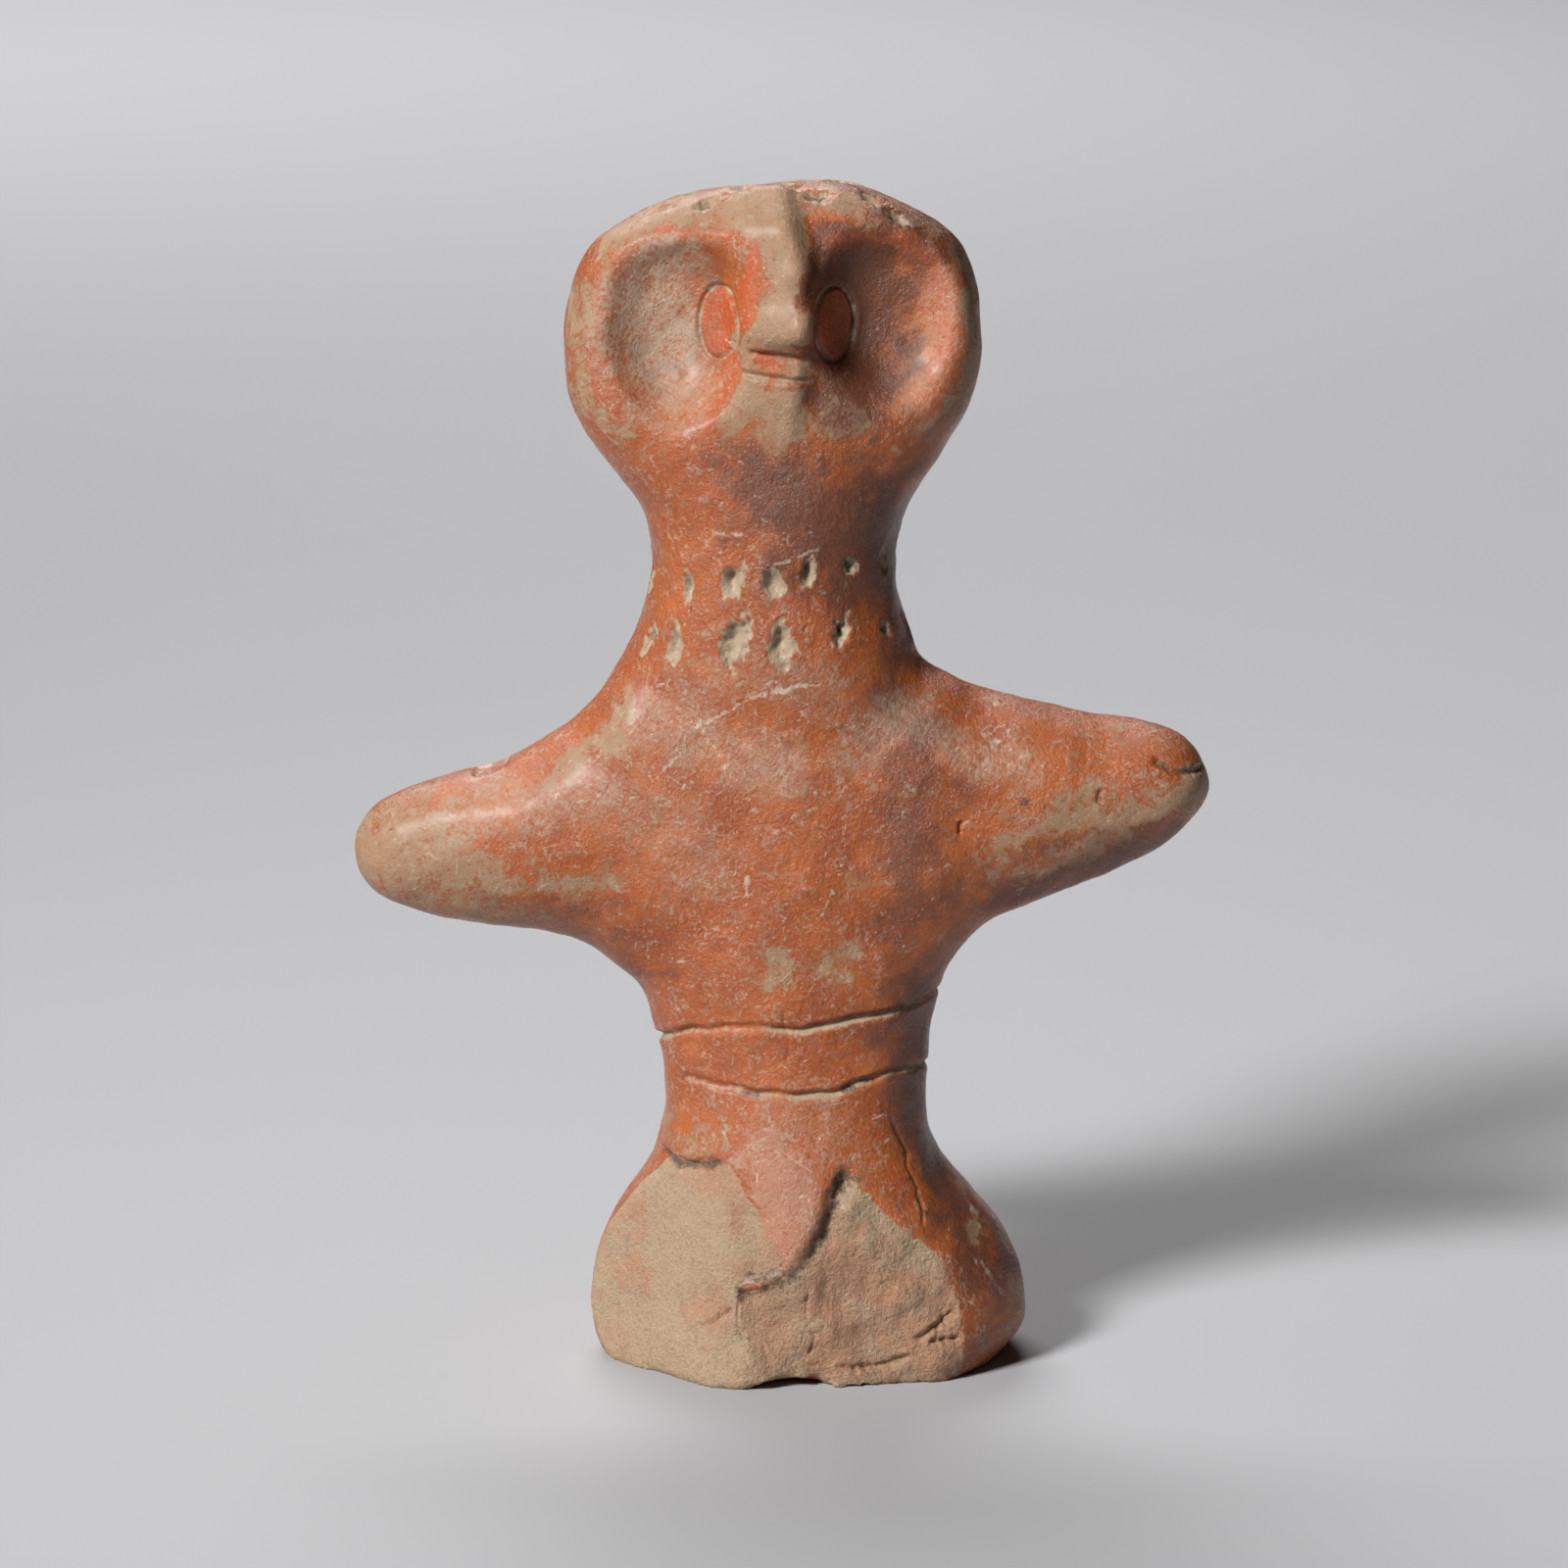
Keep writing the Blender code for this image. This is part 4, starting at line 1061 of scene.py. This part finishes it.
def terracotta():
    # slip over clay, then each layer of wear, stain and painted light laid on by its mark broken up with noise
    material = bpy.data.materials.new("terracottaSlip")
    material.use_nodes = True
    tree = material.node_tree
    shader = tree.nodes["Principled BSDF"]
    start = Wire(tree)
    place = start.node("ShaderNodeTexCoord", out=3)

    def mark(name):
        return start.node("ShaderNodeAttribute", {"attribute_name": name}, out=2)

    def cloud(scale, detail, roughness=0.6, distortion=0.0, at=place):
        # noise about 0, mostly -0.25 to 0.25
        values = {"Vector": at, "Scale": scale, "Detail": detail, "Roughness": roughness, "Distortion": distortion}
        return start.node("ShaderNodeTexNoise", None, values) - 0.5

    def fleck(turn, length, width, low):
        # noise drawn out one way gives short strokes that lie along that way
        turned = start.node("ShaderNodeVectorRotate", {"rotation_type": "Y_AXIS"}, {"Vector": place, "Angle": turn})
        return cloud(1000, 2, 0.5, 0.6, turned.scaled((1 / length, 0.5, 1 / width))).ease(low, low + 0.05)

    broad, patchy, mottle = cloud(*noises["broad"]), cloud(*noises["patchy"]), cloud(*noises["mottle"])
    fine, grain = cloud(*noises["fine"]), cloud(*noises["grain"])
    groups = (patchy + broad).ease(-0.12, 0.16)
    strokes = reduce(Wire.atLeast, (fleck(*row) for row in flecks["strokes"]))
    scratches = reduce(Wire.atLeast, (fleck(*row) for row in flecks["scratches"]))
    strokes = (strokes * (groups * 0.7 + 0.1)).atLeast(scratches * groups * 0.8)
    broken, fill, worn, filmAndSheen = mark("broken"), mark("fill"), mark("worn"), mark("filmAndSheen")
    # deep is the mark of painted shade
    deep, proud, pink = mark("deep"), mark("proud"), mark("pink")
    breakUp = patchy * 1.6 + mottle * 1.8 + fine * 1.3

    # the slip: bright to deep, brown mottling, painted shade under the chin, down the right side and in the right
    # hollow, vivid where it is sheltered
    slip = (broad * 0.6 + patchy * 0.8).ease(-0.2, 0.2).colour(clay["slipBright"], clay["slipDeep"])
    slip = ((mottle + fine * 0.9).ease(0.0, 0.22) * 0.7).colour(slip, clay["slipBrown"])
    slip = ((deep + breakUp * 0.5).ease(0.05, 0.95) * 0.9).colour(slip, clay["shade"])
    vivid = ((mark("vivid") + mark("eye") * 1.2) * 0.8 + breakUp * 0.6).ease(0.3, 0.9)
    slip = vivid.colour(slip, clay["vivid"])

    # rubbing thins the slip, most where the form stands proud and less where shade is painted, and then bares the
    # clay
    rubbing = worn + proud * 0.35 - mark("vivid") * 0.4 - deep * 0.25 + 0.04 + breakUp
    skin = (rubbing.ease(0.2, 0.46) * 0.85).colour(slip, clay["thin"])
    rubbed = rubbing.ease(0.5, 0.64)
    skin = (rubbed * (0.8 + mottle * 1.6 - fine * 1.2)).colour(skin, clay["beige"])
    skin = ((pink + breakUp * 0.9).ease(0.15, 0.9) * 0.75).colour(skin, clay["apron"])

    # a thin veil all over, less where shade is painted; grey film in the hollows, also laid on as painted sheen on
    # the left arm and chest; specks, strokes and scratches; random brown mottling, painted shade in brown, and darker
    # brown in the low places
    veil = (cloud(*noises["veil"]) + fine * 0.6 - deep * 0.06).ease(0.05, 0.12) * 0.5
    skin = veil.colour(skin, clay["veil"])
    streaks = reduce(Wire.__add__, (fleck(*row) for row in flecks["streaks"])) * 0.3
    # the grey of the film, and painted sheen where the film strokes lie on the left arm and chest
    dustAndSheen = (filmAndSheen * (0.3 + streaks + (mottle + fine * 1.6).ease(-0.08, 0.1) * 0.55)).atMost(0.85)
    skin = dustAndSheen.colour(skin, clay["grey"])
    cells = {"Vector": place, "Scale": burnish["speckScale"]}
    specks = start.node("ShaderNodeTexVoronoi", None, cells)
    chance = start.node("ShaderNodeTexVoronoi", None, cells, 1)
    chance = start.node("ShaderNodeSeparateColor", None, {0: chance})
    dots = (chance * 0.24 - 0.1 - specks + fine * 0.35).ease(0.0, 0.05)
    pale = (mark("pale") + breakUp * 0.8).ease(0.35, 0.8)
    skin = (dots * 0.7).atLeast(pale * 0.75).atLeast(strokes * 0.7).colour(skin, clay["pale"])
    skin = ((0 - mottle - fine * 1.1).ease(0.15, 0.32) * 0.55).colour(skin, clay["brown"])
    # painted shade in brown where the deep mark is
    skin = ((deep + breakUp * 0.4).ease(0.2, 1.2) * 0.42).colour(skin, clay["brown"])
    # darker brown in the low places
    skin = ((0 - proud + breakUp * 0.4).ease(0.3, 0.9) * 0.45).colour(skin, clay["brown"])

    # the bare clay of the breaks, grittier and pinker on the right one
    gritty = mark("grit")
    fracture = (broad + patchy * 1.2 + gritty * 0.09).ease(-0.02, 0.22).colour(clay["fracture"], clay["fracturePink"])
    fracture = (pink * 0.7).colour(fracture, clay["fracturePink"])
    fracture = ((mottle * 0.7 + fine * 1.5).ease(0.03, 0.2) * 0.45).colour(fracture, clay["fractureDark"])
    fracture = ((grain + fine * 0.5).ease(0.06, 0.2) * 0.4).colour(fracture, clay["pale"])
    pits = (0 - grain - fine * 0.7).ease(0.06, 0.2) * (0.5 + gritty * 0.2)
    fracture = pits.colour(fracture, clay["fractureDark"])

    # what lies on both: the filling of the scored lines and pricks, dark cracks and stains with painted shadow under
    # the overhang and below the apron's edge, and painted shade in the pricks' holes and along the upper side of the
    # belt grooves
    body = (broken + breakUp * 0.12).ease(0.38, 0.55).colour(skin, fracture)
    body = ((fill + breakUp * 0.6).ease(0.35, 0.8) * 0.92).colour(body, clay["filling"])
    # dark cracks and stains, and painted shadow under the overhang and below the apron's edge
    body = ((mark("dark") + breakUp * 1.1).ease(0.35, 1.0) * 0.85).colour(body, clay["brown"])
    # painted shade in the pricks' holes and along the upper side of the belt grooves
    body = ((mark("hole") + breakUp * 0.5).ease(0.55, 1.0) * 0.8).colour(body, clay["holeShade"])
    tree.links.new(body.socket, shader.inputs["Base Color"])

    dull = rubbed.atLeast(dustAndSheen).atLeast(broken).atLeast(fill)
    least, most = burnish["roughnessRange"]
    roughness = burnish["roughness"] + patchy * 0.4 + fine * 0.6 + dull * 0.3
    tree.links.new(roughness.atMost(most).atLeast(least).socket, shader.inputs["Roughness"])
    height = (patchy * 0.8 + mottle * 0.9) * (1 + broken * 0.6) + fine * (0.7 + broken * 0.9 + gritty * 1.6)
    height = height + grain * (0.16 + broken * 0.8) - strokes * 0.12 - rubbed * 0.12
    bump = start.node("ShaderNodeBump", None, {
        "Height": height, "Strength": burnish["bumpStrength"], "Distance": burnish["bumpDistance"]})
    tree.links.new(bump.socket, shader.inputs["Normal"])
    shader.inputs["Coat Weight"].default_value = burnish["coat"]
    shader.inputs["Coat Roughness"].default_value = burnish["coatRoughness"]
    return material


figure = makeFigure()
figure.data.materials.append(terracotta())
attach(figure, "root")
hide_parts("figure")
print("figure", len(figure.data.polygons), "triangles")

studio = {
    "target": (-0.0033, 0.0, 0.0708),
    "distance": 0.791,
    "elevation": 12.0,
    "lens": 150.0,
    # place, target, size, watts, spread in degrees
    "key": ((-1.02, -1.14, 1.20), (-0.0033, 0.0, 0.0708), 0.46, 2.95, 40),
    "far": ((-0.35, 1.65, 1.5), (-0.35, 1.4, 0.0), 1.2, 41.0, 180),
    "sky": (0.80, 0.80, 0.82, 1.0),
    "skyStrength": 0.02,
    "ground": (0.42, 0.42, 0.431, 1.0),
    "groundRoughness": 0.9,
    "groundHalf": 6.0,
}


def areaLight(name, place, target, size, watts, spread):
    # a square lamp at its place, turned to face its target
    lamp = bpy.data.lights.new(name, "AREA")
    lamp.size = size
    lamp.energy = watts
    lamp.spread = radians(spread)
    holder = bpy.data.objects.new(name, lamp)
    holder.location = place
    way = Vector(target) - Vector(place)
    holder.rotation_euler = way.to_track_quat("-Z", "Y").to_euler()
    bpy.context.scene.collection.objects.link(holder)


def ground():
    # one large level sheet; the camera looks down on it, so it fills the view to the top
    half = studio["groundHalf"]
    mesh = bpy.data.meshes.new("ground")
    mesh.from_pydata([(-half, -half, 0), (half, -half, 0), (half, half, 0), (-half, half, 0)], [], [(0, 1, 2, 3)])
    sheet = bpy.data.objects.new("ground", mesh)
    bpy.context.scene.collection.objects.link(sheet)
    paper = bpy.data.materials.new("greyPaper")
    paper.use_nodes = True
    surface = paper.node_tree.nodes["Principled BSDF"]
    surface.inputs["Base Color"].default_value = studio["ground"]
    surface.inputs["Roughness"].default_value = studio["groundRoughness"]
    mesh.materials.append(paper)


def cameraAtPhoto():
    # the camera looks along +Y and down, at the photograph's angle
    camera = bpy.data.cameras.new("camera")
    camera.lens = studio["lens"]
    camera.sensor_width = 36.0
    holder = bpy.data.objects.new("camera", camera)
    down = radians(studio["elevation"])
    back = Vector((0, -cos(down), sin(down)))
    holder.location = Vector(studio["target"]) + back * studio["distance"]
    holder.rotation_euler = (radians(90) - down, 0, 0)
    bpy.context.scene.collection.objects.link(holder)
    bpy.context.scene.camera = holder


def sky():
    # faint even light from all round
    world = bpy.data.worlds.new("studio")
    world.use_nodes = True
    back = world.node_tree.nodes["Background"]
    back.inputs["Color"].default_value = studio["sky"]
    back.inputs["Strength"].default_value = studio["skyStrength"]
    bpy.context.scene.world = world


ground()
areaLight("key", *studio["key"])
areaLight("far", *studio["far"])
sky()
cameraAtPhoto()
bpy.context.scene.view_settings.view_transform = "Standard"
print("studio ready")
